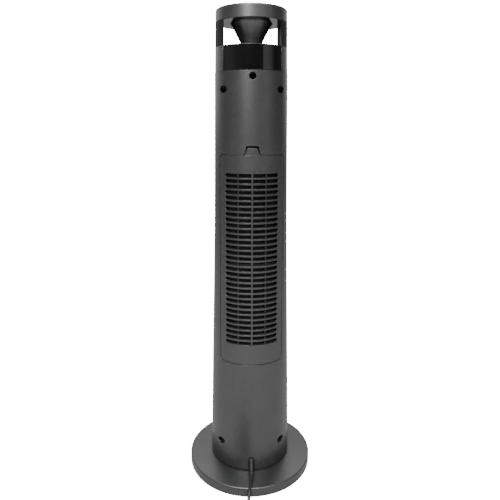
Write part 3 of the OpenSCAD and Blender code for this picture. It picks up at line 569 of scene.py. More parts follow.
def lathe(sheet, corners, steps=192, centre=(0.0, 0.0), round_steps=5):
    """Turns a closed outline of (r, z, rounding) corners round a vertical axis."""
    outline = rounded(corners, round_steps)
    rows = []
    for j in range(steps):
        a = 2 * math.pi * j / steps
        side = Vector((math.sin(a), math.cos(a), 0))
        row = []
        for k, (p, _, _) in enumerate(outline):
            if p.x < 1e-7 and rows:
                row.append(rows[0][1][k])
            else:
                row.append(sheet.add(side * p.x + Vector((centre[0], centre[1], p.y))))
        rows.append((side, row))
    up = Vector((0, 0, 1))
    for j in range(steps):
        s0, row0 = rows[j]
        s1, row1 = rows[(j + 1) % steps]
        for k in range(len(outline)):
            m = (k + 1) % len(outline)
            first, second = outline[k][2], outline[m][1]
            if (outline[k][0] - outline[m][0]).length < 1e-8:
                continue
            if outline[k][0].x < 1e-7 and outline[m][0].x < 1e-7:
                continue
            sheet.face([row0[k], row0[m], row1[m], row1[k]],
                       [s0 * first.x + up * first.y, s0 * second.x + up * second.y,
                        s1 * second.x + up * second.y, s1 * first.x + up * first.y])


def tube(sheet, points, radii, sides, up=Vector((0.1, 0.2, 1))):
    """A round tube along a list of points, with a radius at each, closed at both ends."""
    points = [Vector(p) for p in points]
    side = None
    rings = []
    for i, p in enumerate(points):
        along = (points[min(i + 1, len(points) - 1)] - points[max(i - 1, 0)]).normalized()
        side = (up if side is None else side)
        side = (side - along * side.dot(along)).normalized()
        other = along.cross(side)
        ring, outs = [], []
        for k in range(sides):
            a = 2 * math.pi * k / sides
            d = math.cos(a) * side + math.sin(a) * other
            ring.append(sheet.add(p + d * radii[i]))
            outs.append(d)
        rings.append((ring, outs))
    for (r0, n0), (r1, n1) in zip(rings, rings[1:]):
        for k in range(sides):
            m = (k + 1) % sides
            sheet.face([r0[k], r0[m], r1[m], r1[k]], [n0[k], n0[m], n1[m], n1[k]])
    for (ring, _), point, back in ((rings[0], points[0], True), (rings[-1], points[-1], False)):
        hub = sheet.add(point)
        for k in range(sides):
            m = (k + 1) % sides
            sheet.face([ring[m], ring[k], hub] if back else [ring[k], ring[m], hub])


def softened(points, per=3):
    """A smooth line through every point."""
    made = []
    for i in range(len(points) - 1):
        p0, p1 = Vector(points[max(i - 1, 0)]), Vector(points[i])
        p2, p3 = Vector(points[i + 1]), Vector(points[min(i + 2, len(points) - 1)])
        for k in range(per):
            t = k / per
            made.append(0.5 * ((2 * p1) + (p2 - p0) * t + (2 * p0 - 5 * p1 + 4 * p2 - p3) * t * t
                               + (3 * p1 - p0 - 3 * p2 + p3) * t ** 3))
    made.append(Vector(points[-1]))
    return made


def round_rect(half, low, high, corner, steps=8):
    """An anticlockwise rectangle with round corners, as (x, z) points."""
    points = []
    for cx, cz, start in ((half - corner, low + corner, -90), (half - corner, high - corner, 0),
                          (corner - half, high - corner, 90), (corner - half, low + corner, 180)):
        points += [(cx + corner * math.cos(math.radians(start + 90 * k / steps)),
                    cz + corner * math.sin(math.radians(start + 90 * k / steps)))
                   for k in range(steps + 1)]
    return points


def circle(x, z, r, steps=40):
    """A clockwise circle, as (x, z) points."""
    return [(x + r * math.cos(-2 * math.pi * k / steps), z + r * math.sin(-2 * math.pi * k / steps))
            for k in range(steps)]


# ------------------------------------------------------------------ materials

MATERIALS = {}


def object_place(tree, scale=(1.0, 1.0, 1.0)):
    place = node(tree, "ShaderNodeTexCoord", output="Object")
    return node(tree, "ShaderNodeMapping", None, {"Vector": place, "Scale": scale})


def grain(tree, scale, detail=3.0, roughness=0.5, stretch=(1.0, 1.0, 1.0)):
    return node(tree, "ShaderNodeTexNoise", {"noise_dimensions": "3D"},
                {"Vector": object_place(tree, stretch), "Scale": scale, "Detail": detail,
                 "Roughness": roughness})


def shaded(tree, low, high, factor):
    """A mix of two colours."""
    return node(tree, "ShaderNodeMix", {"data_type": "RGBA"},
                {"Factor": factor, 6: low, 7: high}, output=2)


def finish(name, colour, roughness, metal=0.0, tone=0.12, mottle=18.0, spread=0.05,
           bump=0.0, bump_scale=1500.0, coat=0.0, coat_roughness=0.05, specular=0.5,
           flake=0.0, pattern=None):
    """One procedural finish: a slow change of tone, a fine grain, its roughness and bump."""
    material = bpy.data.materials.new(name)
    tree = blank(material)
    slow = grain(tree, mottle, 4.0, 0.55)
    fine = grain(tree, bump_scale, 2.0, 0.6)
    dark = [c * (1 - tone) for c in colour]
    light = [min(1.0, c * (1 + tone)) for c in colour]
    base = shaded(tree, dark, light, ((slow - 0.3) * 2.5).clamp())
    if flake:
        spots = node(tree, "ShaderNodeTexVoronoi", {"feature": "F1"},
                     {"Vector": object_place(tree), "Scale": 2600.0}, output="Distance")
        mask = ((0.32 - spots) * 6.0).clamp() * flake
        base = shaded(tree, base, [min(1.0, c * 2.2 + 0.02) for c in colour], mask)
    rough = (roughness + (slow - 0.5) * spread + (fine - 0.5) * spread * 0.6).clamp(0.02, 1.0)
    height = fine
    if pattern:
        base, rough, height = pattern(tree, base, rough)
    sockets = {"Base Color": base, "Roughness": rough, "Metallic": metal,
               "Specular IOR Level": specular, "Coat Weight": coat,
               "Coat Roughness": coat_roughness}
    if bump:
        sockets["Normal"] = node(tree, "ShaderNodeBump", None,
                                 {"Strength": bump, "Distance": 0.0004, "Height": height})
    shader = node(tree, "ShaderNodeBsdfPrincipled", None, sockets)
    link_out(tree, "ShaderNodeOutputMaterial", shader)
    MATERIALS[name] = material
    return material


def woven(tree, base, rough):
    """A fine net: two sets of threads at right angles, with the gaps between them darkened as painted shade.
    """
    place = object_place(tree)
    across = node(tree, "ShaderNodeTexWave", {"wave_type": "BANDS", "bands_direction": "X"},
                  {"Vector": place, "Scale": 280.0, "Distortion": 0.3})
    up = node(tree, "ShaderNodeTexWave", {"wave_type": "BANDS", "bands_direction": "Z"},
              {"Vector": place, "Scale": 280.0, "Distortion": 0.3})
    threads = across.maths("MAXIMUM", across, up)
    # Painted shade: the gaps between the threads go nearly black, as the dark openings of the net
    net_gaps_painted_shade = shaded(tree, base, (0.003, 0.003, 0.003), 1 - threads)
    return net_gaps_painted_shade, rough, threads


def brushed(tree, base, rough):
    """Long fine scratches along Z."""
    lines = grain(tree, 900.0, 3.0, 0.6, (1.0, 1.0, 0.03))
    return base, (rough + (lines - 0.5) * 0.25).clamp(0.05, 1.0), lines


def traced(tree, base, rough):
    """Copper tracks under green lacquer."""
    cells = node(tree, "ShaderNodeTexVoronoi",
                 {"feature": "DISTANCE_TO_EDGE", "distance": "EUCLIDEAN"},
                 {"Vector": object_place(tree), "Scale": 220.0}, output="Distance")
    tracks = ((0.06 - cells) * 60.0).clamp()
    return shaded(tree, base, (0.05, 0.24, 0.09), tracks), rough, tracks


def make_materials(finishes):
    """Every finish of the fan, keyed by the record's material slots."""
    black = tuple(finishes.black)
    finish("casing_grey", tuple(finishes.casing), finishes.casing_roughness,
           finishes.casing_metal, tone=0.05, mottle=9.0, spread=0.05, bump=0.06,
           bump_scale=1400.0, flake=0.35)
    # Painted shade: the casing grey darkened to about a third for the slats and side ribs, which sit in the
    # shade of the door's slots
    finish("vent_painted_shade", tuple(0.35 * c for c in finishes.casing), 0.5, 0.4, tone=0.08,
           spread=0.05, bump=0.1)
    finish("pillar_black", tuple(0.4 * c for c in black), 0.6, tone=0.15, spread=0.08,
           bump=0.15, bump_scale=2200.0, specular=0.2)
    # Painted light: the casing grey made 1.75 times lighter for the cone under the cap, so that it reads as
    # lit
    finish("cone_painted_light", tuple(1.75 * c for c in finishes.casing), 0.42, finishes.casing_metal,
           tone=0.05, mottle=9.0, spread=0.05, bump=0.06, bump_scale=1400.0)
    finish("black_plastic", black, 0.5, tone=0.15, spread=0.1, bump=0.18, bump_scale=2200.0)
    finish("black_gloss", tuple(finishes.gloss), 0.08, tone=0.1, spread=0.05, coat=1.0,
           coat_roughness=0.03, bump=0.01, bump_scale=500.0)
    finish("cast_ballast", (0.16, 0.16, 0.165), 0.62, 0.8, tone=0.3, mottle=60.0,
           spread=0.2, bump=0.6, bump_scale=700.0)
    finish("black_rubber", (0.018, 0.018, 0.018), 0.75, tone=0.2, spread=0.12, bump=0.3,
           bump_scale=1200.0)
    finish("cord_vinyl", (0.014, 0.014, 0.015), 0.42, tone=0.15, spread=0.12, bump=0.12,
           bump_scale=900.0)
    finish("brass_pins", (0.72, 0.56, 0.27), 0.3, 1.0, tone=0.08, pattern=brushed, bump=0.05)
    finish("tie_plastic", (0.03, 0.03, 0.03), 0.55, tone=0.1, bump=0.2)
    finish("zinc_steel", (0.6, 0.6, 0.62), 0.34, 1.0, tone=0.08, pattern=brushed, bump=0.05)
    finish("black_steel", (0.05, 0.05, 0.052), 0.4, 0.9, tone=0.15, bump=0.1)
    finish("motor_shell", (0.52, 0.52, 0.54), 0.4, 0.9, tone=0.1, pattern=brushed, bump=0.08)
    finish("white_nylon", (0.82, 0.82, 0.79), 0.45, tone=0.04, bump=0.1)
    finish("bronze", (0.58, 0.38, 0.2), 0.45, 1.0, tone=0.15, bump=0.15)
    finish("wheel_plastic", (0.1, 0.1, 0.105), 0.5, tone=0.1, bump=0.12)
    finish("filter_net", (0.008, 0.008, 0.008), 0.8, tone=0.15, bump=0.8, pattern=woven)
    finish("circuit_board", (0.015, 0.12, 0.05), 0.3, tone=0.1, bump=0.15, coat=0.5,
           pattern=traced)
    finish("button_grey", (0.1, 0.1, 0.104), 0.45, tone=0.06, bump=0.1, bump_scale=1800.0)


def floor_paint(stage):
    """A pale floor that the camera sees as bright as the backdrop, apart from its shadows."""
    material = bpy.data.materials.new("floor_paint")
    tree = blank(material)
    seen = node(tree, "ShaderNodeLightPath", output="Is Camera Ray")
    shader = node(tree, "ShaderNodeBsdfPrincipled", None,
                  {"Base Color": tuple(stage.floor), "Roughness": 0.7, "Emission Color": seen,
                   "Emission Strength": stage.floor_glow})
    link_out(tree, "ShaderNodeOutputMaterial", shader)
    return material


# Brightness of the studio by bearing in degrees: 0 is the +Y side, positive is +X
STUDIO = ((-180, 1.6), (-140, 1.6), (-128, 0.9), (-114, 0.10), (-75, 0.03), (-62, 0.45),
          (-50, 0.7), (-38, 0.75), (-33, 0.04), (0, 0.05), (25, 0.08), (50, 0.14), (62, 0.24),
          (85, 0.26), (98, 0.16), (110, 0.9), (135, 1.8), (180, 1.6))


def studio(stage):
    """A white backdrop for the camera, and panels at every side for all other rays."""
    world = bpy.data.worlds.new("studio")
    tree = blank(world)
    way = node(tree, "ShaderNodeTexCoord", output="Generated")
    x, y, z = components(tree, way)
    turn = x.maths("ARCTAN2", x, y) / (2 * math.pi) + 0.5
    sides = node(tree, "ShaderNodeValToRGB",
                 {"stops": [(a / 360 + 0.5, (v, v, v)) for a, v in STUDIO]}, {"Fac": turn})
    above = ((z - 0.3) * 2.5).clamp()
    panels = sides * (1 - above) + above * stage.overhead
    seen = node(tree, "ShaderNodeLightPath", output="Is Camera Ray")
    around = node(tree, "ShaderNodeBackground", None,
                  {"Color": (1.0, 1.0, 1.0), "Strength": panels * stage.surround})
    behind = node(tree, "ShaderNodeBackground", None,
                  {"Color": tuple(stage.backdrop), "Strength": stage.backdrop_glow})
    both = node(tree, "ShaderNodeMixShader", None, {0: seen, 1: around, 2: behind})
    link_out(tree, "ShaderNodeOutputWorld", both)
    return world


def dress_nodes():
    """Gives every CAD node that keeps its own shape the finish of its material slot."""
    for row in frame["record"]["subparts"]:
        part = frame["nodes"][row["node"]]
        part.data.materials.clear()
        part.data.materials.append(MATERIALS[row["material_slot"]])


# ------------------------------------------------------------------ node-built pieces

def new_group(name, **inputs):
    """A node group, the identifiers of its inputs and the inputs as wires. The names of
    inputs have underscores for spaces."""
    tree = bpy.data.node_groups.new(name, "GeometryNodeTree")
    sockets = {}
    for key, kind in inputs.items():
        key = key.replace("_", " ")
        sockets[key] = tree.interface.new_socket(
            name=key, in_out="INPUT", socket_type="NodeSocket" + kind).identifier
    tree.interface.new_socket(name="Geometry", in_out="OUTPUT",
                              socket_type="NodeSocketGeometry")
    group = tree.nodes.new("NodeGroupInput")
    return tree, sockets, {s.name: Wire(tree, s) for s in group.outputs if s.name}


def end_group(tree, solid, given):
    """Gives the solid its material and hands it out of the group."""
    dressed = node(tree, "GeometryNodeSetMaterial", None,
                   {"Geometry": solid, "Material": given["Material"]})
    link_out(tree, "NodeGroupOutput", dressed)


def repeated(tree, **sockets):
    """Real copies of an instance, one at every point."""
    laid = node(tree, "GeometryNodeInstanceOnPoints", None, sockets)
    return node(tree, "GeometryNodeRealizeInstances", None, {0: laid})


def bars_tree():
    """Straight bars laid out flat, then wrapped on the outline of the column."""
    tree, sockets, given = new_group(
        "Bars On Column", Count="Int", Size="Vector", First="Vector", Step="Vector",
        Cuts_X="Int", Cuts_Z="Int", Side="Float", Top_Radius="Float", Foot_Radius="Float",
        Top_Height="Float", Foot_Height="Float", Flare_Start="Float", Flare_Share="Float",
        Material="Material")
    bar = node(tree, "GeometryNodeMeshCube", None,
               {"Size": given["Size"], "Vertices X": given["Cuts X"], "Vertices Y": 2,
                "Vertices Z": given["Cuts Z"]})
    row = node(tree, "GeometryNodeMeshLine", {"mode": "OFFSET"},
               {"Count": given["Count"], "Start Location": given["First"],
                "Offset": given["Step"]})
    solid = repeated(tree, Points=row, Instance=bar)
    x, sunk, z = components(tree, node(tree, "GeometryNodeInputPosition"))
    t = (given["Top Height"] - z) / (given["Top Height"] - given["Foot Height"])
    u = ((t - given["Flare Start"]) / (1 - given["Flare Start"])).clamp()
    spread = (1 - given["Flare Share"]) * t + given["Flare Share"] * (u * u * (3 - 2 * u))
    radius = given["Top Radius"] + (given["Foot Radius"] - given["Top Radius"]) * spread
    reach = radius + sunk
    y = (reach * reach - x * x).clamp(0.000001, 1.0) ** 0.5
    wrapped = vector_of(tree, X=x * given["Side"], Y=y * given["Side"], Z=z)
    moved = node(tree, "GeometryNodeSetPosition", None,
                 {"Geometry": solid, "Position": wrapped})
    end_group(tree, moved, given)
    return tree, sockets


def screws_tree():
    """Pan-head screws with a cross recess, one at each vertex, pointing along a direction."""
    tree, sockets, given = new_group(
        "Pan Screws", Geometry="Geometry", Head_Radius="Float", Head_Height="Float",
        Shank_Radius="Float", Length="Float", Turn="Vector", Material="Material")
    head = node(tree, "GeometryNodeMeshCone", None,
                {"Vertices": 32, "Side Segments": 3, "Radius Top": given["Head Radius"] * 0.72,
                 "Radius Bottom": given["Head Radius"], "Depth": given["Head Height"]})
    arm = given["Head Radius"] * 1.1
    thin = given["Head Radius"] * 0.26
    cutters = []
    for x, y in ((arm, thin), (thin, arm)):
        size = vector_of(tree, X=x, Y=y, Z=given["Head Height"] * 1.2)
        block = node(tree, "GeometryNodeMeshCube", None, {"Size": size})
        lift = vector_of(tree, Z=given["Head Height"] * 1.05)
        cutters.append(node(tree, "GeometryNodeTransform", None,
                            {"Geometry": block, "Translation": lift}))
    cut = tree.nodes.new("GeometryNodeMeshBoolean")
    cut.operation = "DIFFERENCE"
    tree.links.new(head.socket, cut.inputs[0])
    for cutter in cutters:
        tree.links.new(cutter.socket, cut.inputs[1])
    shank = node(tree, "GeometryNodeMeshCylinder", None,
                 {"Vertices": 20, "Radius": given["Shank Radius"], "Depth": given["Length"]})
    below = vector_of(tree, Z=given["Length"] * -0.5)
    shank = node(tree, "GeometryNodeTransform", None,
                 {"Geometry": shank, "Translation": below})
    both = tree.nodes.new("GeometryNodeJoinGeometry")
    tree.links.new(cut.outputs[0], both.inputs[0])
    tree.links.new(shank.socket, both.inputs[0])
    joined = Wire(tree, both.outputs[0])
    end_group(tree, repeated(tree, Points=given["Geometry"], Instance=joined,
                             Rotation=given["Turn"]), given)
    return tree, sockets


def blades_tree():
    """Curved blades round the Z axis between two radii."""
    tree, sockets, given = new_group(
        "Wheel Blades", Count="Int", Inner_Radius="Float", Outer_Radius="Float",
        Thickness="Float", Height="Float", Middle_Height="Float", Sweep="Float",
        Material="Material")
    span = given["Outer Radius"] - given["Inner Radius"]
    size = vector_of(tree, X=span, Y=given["Thickness"], Z=given["Height"])
    blade = node(tree, "GeometryNodeMeshCube", None,
                 {"Size": size, "Vertices X": 6, "Vertices Y": 2, "Vertices Z": 2})
    centre = vector_of(tree, X=(given["Outer Radius"] + given["Inner Radius"]) * 0.5,
                       Z=given["Middle Height"])
    blade = node(tree, "GeometryNodeTransform", None,
                 {"Geometry": blade, "Translation": centre})
    x, y, z = components(tree, node(tree, "GeometryNodeInputPosition"))
    u = (x - given["Inner Radius"]) / span
    a = given["Sweep"] * u * u + y / x
    bent = vector_of(tree, X=x * a.maths("COSINE", a), Y=x * a.maths("SINE", a), Z=z)
    blade = node(tree, "GeometryNodeSetPosition", None, {"Geometry": blade, "Position": bent})
    ring = node(tree, "GeometryNodePoints", None, {"Count": given["Count"]})
    index = node(tree, "GeometryNodeInputIndex")
    turn = vector_of(tree, Z=index / given["Count"] * (2 * math.pi))
    end_group(tree, repeated(tree, Points=ring, Instance=blade, Rotation=turn), given)
    return tree, sockets


def grown(name, tree, sockets, values, points=()):
    """Runs a node tree on an object made of the points and gives the plain mesh."""
    seed = bpy.data.meshes.new(name)
    seed.from_pydata([Vector(p) for p in points], [], [])
    holder = bpy.data.objects.new(name + "_seed", seed)
    bpy.context.scene.collection.objects.link(holder)
    modifier = holder.modifiers.new("Build", "NODES")
    modifier.node_group = tree
    for key, value in values.items():
        modifier[sockets[key]] = value
    graph = bpy.context.evaluated_depsgraph_get()
    mesh = bpy.data.meshes.new_from_object(holder.evaluated_get(graph),
                                           preserve_all_data_layers=True, depsgraph=graph)
    bpy.data.objects.remove(holder)
    mesh.name = name
    return mesh


def eased(piece, width, limit=50.0):
    """Rounds a piece's sharp edges."""
    bevel = piece.modifiers.new("Edges", "BEVEL")
    bevel.width = width
    bevel.segments = 2
    bevel.limit_method = "ANGLE"
    bevel.angle_limit = math.radians(limit)
    bevel.harden_normals = True
    for polygon in piece.data.polygons:
        polygon.use_smooth = True
    return piece


def column_values(column):
    return {"Top Radius": column.radius_top, "Foot Radius": column.radius_foot,
            "Top Height": COLUMN_TOP, "Foot Height": COLUMN_FOOT,
            "Flare Start": column.flare_start, "Flare Share": column.flare_share}


def column_wall(column, turn=0.0):
    return RoundWall(lambda z: column_radius(column, z), column.radius_top, turn)


def head_wall(column, head, turn=0.0):
    return RoundWall(lambda z: head_radius(column, head, z), column.radius_top, turn)


# ------------------------------------------------------------------ operators

CAMERA_SHIFT = -0.084
CAMERA_YAW = 0.0014
CAMERA_ROLL = math.radians(0.2)
FLOOR_REACH = 60.0
LAMP_AIM = Vector((0, 0, 0.45))

# Middles of the casing screws, as (x, height)
SCREWS = ((0.0595, 0.0732), (-0.0595, 0.0732), (0.0524, COLUMN_TOP - 0.0322),
          (-0.0524, COLUMN_TOP - 0.0322), (0.0, COLUMN_TOP - 0.010))
# Right side of the notch over the vent door, as (x, height over the door)
NOTCH = ((0.016, 0.0), (0.013, 0.00765), (0.012, 0.015), (0.010, 0.017))


class FAN_OT_stage(bpy.types.Operator):
    """Set up the camera, the lights, the world and the floor"""
    bl_idname = "fan.stage"
    bl_label = "Stage"

    def execute(self, context):
        stage = context.scene.fan_stage
        data = bpy.data.cameras.new("camera")
        data.lens = stage.focal
        data.sensor_width = 36.0
        data.shift_y = CAMERA_SHIFT
        camera = bpy.data.objects.new("camera", data)
        context.scene.collection.objects.link(camera)
        camera.location = (stage.distance * math.sin(stage.bearing),
                           stage.distance * math.cos(stage.bearing), stage.height)
        turn = Matrix.Rotation(math.pi - stage.bearing + CAMERA_YAW, 4, "Z")
        tilt = Matrix.Rotation(math.pi / 2 - stage.pitch, 4, "X")
        roll = Matrix.Rotation(CAMERA_ROLL, 4, "Z")
        camera.matrix_world = Matrix.Translation(camera.location) @ turn @ tilt @ roll
        context.scene.camera = camera

        floor = Sheet()
        floor.face([floor.add((x * FLOOR_REACH, y * FLOOR_REACH, 0))
                    for x, y in ((-1, -1), (1, -1), (1, 1), (-1, 1))])
        ground = bpy.data.objects.new("floor", floor.mesh("floor"))
        context.scene.collection.objects.link(ground)
        ground.data.materials.append(floor_paint(stage))

        for name, place, size, energy in (
                ("light_key", (0.50, 2.0, 2.1), (0.7, 1.5), stage.key_power),
                ("light_front", (0.1, 1.8, 2.6), (3.2, 0.9), stage.front_power),
                ("light_back", (0.0, -1.6, 2.4), (2.2, 1.0), stage.back_power)):
            lamp = bpy.data.lights.new(name, "AREA")
            lamp.shape = "RECTANGLE"
            lamp.size, lamp.size_y = size
            lamp.energy = energy
            holder = bpy.data.objects.new(name, lamp)
            context.scene.collection.objects.link(holder)
            holder.location = place
            holder.visible_camera = False
            aim = LAMP_AIM - Vector(place)
            holder.rotation_euler = aim.to_track_quat("-Z", "Y").to_euler()
        context.scene.world = studio(stage)
        return {"FINISHED"}


class FAN_OT_cord(bpy.types.Operator):
    """Lay the mains cord from the strain relief over the base to its coil and plug"""
    bl_idname = "fan.cord"
    bl_label = "Mains cord"

    lead = ((0, 96, 32), (0.5, 101, 28.8), (1.3, 107, 26.4), (2.2, 113, 25), (3.2, 119, 24.4),
            (4.3, 125, 23.4), (5.4, 131, 21), (6.5, 137, 17), (7.5, 143, 12.4),
            (8.4, 149, 8.4), (9.1, 155, 5.6), (9.6, 162, 4), (9.9, 170, 3.6),
            (10, 180, 3.6), (10, 190, 3.6), (10, 200, 3.6))
    tail = ((98, 228, 10), (103, 219.5, 9.8), (108, 211, 9.4), (111.6, 203.5, 8.8),
            (114, 196, 8.2), (115, 189, 8))

    def execute(self, context):
        cord = context.scene.fan_cord
        d = cord.diameter
        centre = (COIL_LOW + COIL_HIGH) / 2
        outer = cord.coil_middle + (cord.columns - 1) * d / 2
        low_z = d / 2 + 0.0003
        turns = 7 + 150 / 360
        steps_per_turn = 26
        coil = []
        count = int(turns * steps_per_turn)
        for i in range(count + 1):
            t = turns * i / count
            if t < 3.7:
                k = min(int(t), cord.columns - 1)
                step = smooth_step((t - k - 5 / 6) * 6) if k < cord.columns - 1 else 0.0
                r = outer - d * (k + step)
            else:
                k = int(t - 3.4)
                step = smooth_step((t - 3.4 - k) * 5) - 1 if k > 0 else 0.0
                r = outer - d * (cord.columns - 1) + d * (k + step)
            z = low_z + d * smooth_step((t - 3.6) / (5 / 6 - 0.6))
            a = math.pi - 2 * math.pi * t
            coil.append((centre.x + r * math.cos(a), centre.y + r * math.sin(a), z))
        line = softened([[c / 1000 for c in p] for p in self.lead] + coil
                        + [[c / 1000 for c in p] for p in self.tail], 2)
        total = sum((b - a).length for a, b in zip(line, line[1:]))
        sheet = Sheet()
        tube(sheet, line, [d / 2] * len(line), cord.sides)
        piece = settle("mains_cord", sheet, MATERIALS["cord_vinyl"],
                       None, "cord_vinyl", "cord_lead", "cord_coil", "cord_tail")
        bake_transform(piece, "tower", "base", start=(0, 0.088, 0.03), end=(0, 0.150, 0.03))
        return {"FINISHED"}


class FAN_OT_casings(bpy.types.Operator):
    """Build the rear and the front casing of the column with their rounded edges"""
    bl_idname = "fan.casings"
    bl_label = "Casings"

    def execute(self, context):
        column = context.scene.fan_column
        vent = context.scene.fan_vent
        grey = MATERIALS["casing_grey"]

        wall = column_wall(column)
        half = column.radius_top * (math.pi / 2) - column.seam / 2
        arch_top = 0.053
        arch_half = 0.006
        arch = [(-arch_half, COLUMN_FOOT)]
        arch += [(-arch_half * math.cos(math.radians(15 * k)),
                  arch_top - arch_half + arch_half * math.sin(math.radians(15 * k)))
                 for k in range(13)]
        arch += [(arch_half, COLUMN_FOOT)]
        corners = [(-half, COLUMN_FOOT)] + wall.lay(arch)
        corners += [(half, COLUMN_FOOT), (half, COLUMN_TOP), (-half, COLUMN_TOP)]
        outer = spaced(corners)
        gap = vent.gap
        top = DOOR_TOP + 0.001
        opening = round_rect(vent.half_width + gap, DOOR_FOOT - gap, top, vent.corner)
        split = next(i for i in range(1, len(opening))
                     if opening[i][1] == max(p[1] for p in opening) and opening[i][0] < 0)
        foot_x = NOTCH[0][0] - (NOTCH[0][0] - NOTCH[1][0]) * 0.001 / NOTCH[1][1]
        notch = [(foot_x, top)] + [(x, DOOR_TOP + z) for x, z in NOTCH[1:]]
        notch += [(-x, z) for x, z in reversed(notch)]
        opening = opening[:split] + notch + opening[split:]
        holes = [wall.lay(spaced(opening))[::-1]]
        cups = {}
        for x, z in SCREWS:
            cups[len(holes)] = (x, z, column.seat, column.recess + 0.0014)
            holes.append(wall.lay(circle(x, z, column.recess)))
        sheet = Sheet()
        skin(sheet, wall, outer, holes, column.edge, column.wall, cups)
        # Strips behind the skin, each on both sides: they touch it, or lie behind the latch
        touching, behind_latch = column.wall - 0.0001, column.wall + 0.0031
        strip_edge, strip_thick = 0.0002, 0.0012
        inset, overlap = 0.002, 0.003
        lip = wall.lay(rectangle(0.0153, DOOR_TOP - 0.002, vent.half_width - 0.007,
                                 DOOR_TOP + 0.004))
        tongue = rectangle(half - overlap, COLUMN_FOOT + inset, half + overlap,
                           COLUMN_TOP - inset)
        backing = wall.lay(rectangle(0.0105, DOOR_TOP - 0.004, 0.020, DOOR_TOP + 0.006))
        for strip, depth in ((lip, touching), (tongue, touching), (backing, behind_latch)):
            for outline in (strip, [(-s, z) for s, z in reversed(strip)]):
                skin(sheet, wall, outline, [], strip_edge, strip_thick, depth=depth)
        settle("rear_shell", sheet, grey, "tower", "casing_grey",
               "rear_casing")

        wall = column_wall(column, math.pi)
        outer = rectangle(-half, COLUMN_FOOT, half, COLUMN_TOP)
        outlet = round_rect(GRILLE_HIGH.x + 0.0002, GRILLE_LOW.z - 0.0002,
                            GRILLE_HIGH.z + 0.0002, 0.010)
        sheet = Sheet()
        skin(sheet, wall, outer, [wall.lay(spaced(outlet))[::-1]], column.edge, column.wall)
        settle("front_shell", sheet, grey, "tower", "casing_grey",
               "front_casing")
        return {"FINISHED"}


class FAN_OT_door(bpy.types.Operator):
    """Build the vent door with its slots, slats and ribs, and the latch above it"""
    bl_idname = "fan.door"
    bl_label = "Vent door"

    def execute(self, context):
        column = context.scene.fan_column
        vent = context.scene.fan_vent
        grey = MATERIALS["casing_grey"]
        wall = column_wall(column)

        outer = wall.lay(spaced(round_rect(vent.half_width, DOOR_FOOT, DOOR_TOP, vent.corner)))
        inner_x = vent.mid_rib / 2
        radius = vent.slot_height / 2
        holes = []
        for i in range(vent.slot_count):
            z = vent.slot_top - i * vent.slot_pitch
            end = vent.slot_reach - radius
            window = [(inner_x, z - radius), (end, z - radius)]
            window += [(end + radius * math.sin(math.radians(20 * k)),
                        z - radius * math.cos(math.radians(20 * k))) for k in range(1, 9)]
            window += [(end, z + radius), (inner_x, z + radius)]
            window = spaced(window, 0.0035)
            holes.append(wall.lay(window)[::-1])
            holes.append(wall.lay([(-x, h) for x, h in window]))
        sheet = Sheet()
        skin(sheet, wall, outer, holes, 0.00045, column.wall, grid=(0.0045, 0.008))
        settle("door_shell", sheet, grey, "door", "casing_grey",
               "vent_door")

        tree, sockets = bars_tree()
        values = column_values(column)
        pitch, count = vent.slot_pitch, vent.slot_count
        foot = vent.slot_top - (count - 1) * pitch - radius
        depth = vent.slat_depth - 0.002
        middle = (vent.slot_top + radius + foot) / 2
        tall = vent.slot_top + radius - foot + 0.006
        rib_x = (vent.slot_reach + vent.mid_rib / 2) / 2
        # The slats and side ribs take a darker copy of the casing grey: painted shade of the slots they sit
        # in. The middle rib keeps the casing grey
        painted_shade_grey = MATERIALS["vent_painted_shade"]
        for name, shade, bars in (
                ("door_slats", painted_shade_grey,
                 {"Count": count + 1, "Cuts X": 41, "Cuts Z": 2,
                  "Size": (2 * vent.slot_reach + 0.002, depth, 0.0026),
                  "First": (0.0, -0.002 - depth / 2, vent.slot_top + pitch / 2),
                  "Step": (0.0, 0.0, -pitch)}),
                ("door_side_ribs", painted_shade_grey,
                 {"Count": 2, "Cuts X": 3, "Cuts Z": 40,
                  "Size": (vent.side_rib, depth + 0.0006, tall),
                  "First": (-rib_x, -0.0017 - depth / 2, middle),
                  "Step": (2 * rib_x, 0.0, 0.0)}),
                ("door_middle_rib", grey,
                 {"Count": 1, "Cuts X": 3, "Cuts Z": 40,
                  "Size": (vent.mid_rib - 0.0004, depth + 0.0003, tall),
                  "First": (0.0, -0.0021 - depth / 2, middle),
                  "Step": (0.0, 0.0, 0.0)})):
            mesh = grown(name, tree, sockets,
                         {**values, **bars, "Side": 1.0, "Material": shade})
            eased(settle(name, mesh, shade, "door", "casing_grey"), 0.0003)

        play = 0.0013
        crown = 0.017 - 0.0034
        outline = [(NOTCH[0][0] - play, 0.0), (NOTCH[1][0] - play, NOTCH[1][1]),
                   (NOTCH[2][0] - play, crown - 0.002), (0.0087, crown)]
        flap = [(x, DOOR_TOP + z) for x, z in outline]
        flap += [(-x, z) for x, z in reversed(flap)]
        tab, tab_foot = 0.009, DOOR_TOP - 0.018
        flap += [(-tab, DOOR_TOP), (-tab, tab_foot), (tab, tab_foot), (tab, DOOR_TOP)]
        sheet = Sheet()
        skin(sheet, wall, wall.lay(spaced(flap)), [], 0.0006, 0.0025,
             depth=column.wall + 0.0003)
        settle("latch_flap", sheet, grey, "latch", "casing_grey",
               "door_latch")
        return {"FINISHED"}


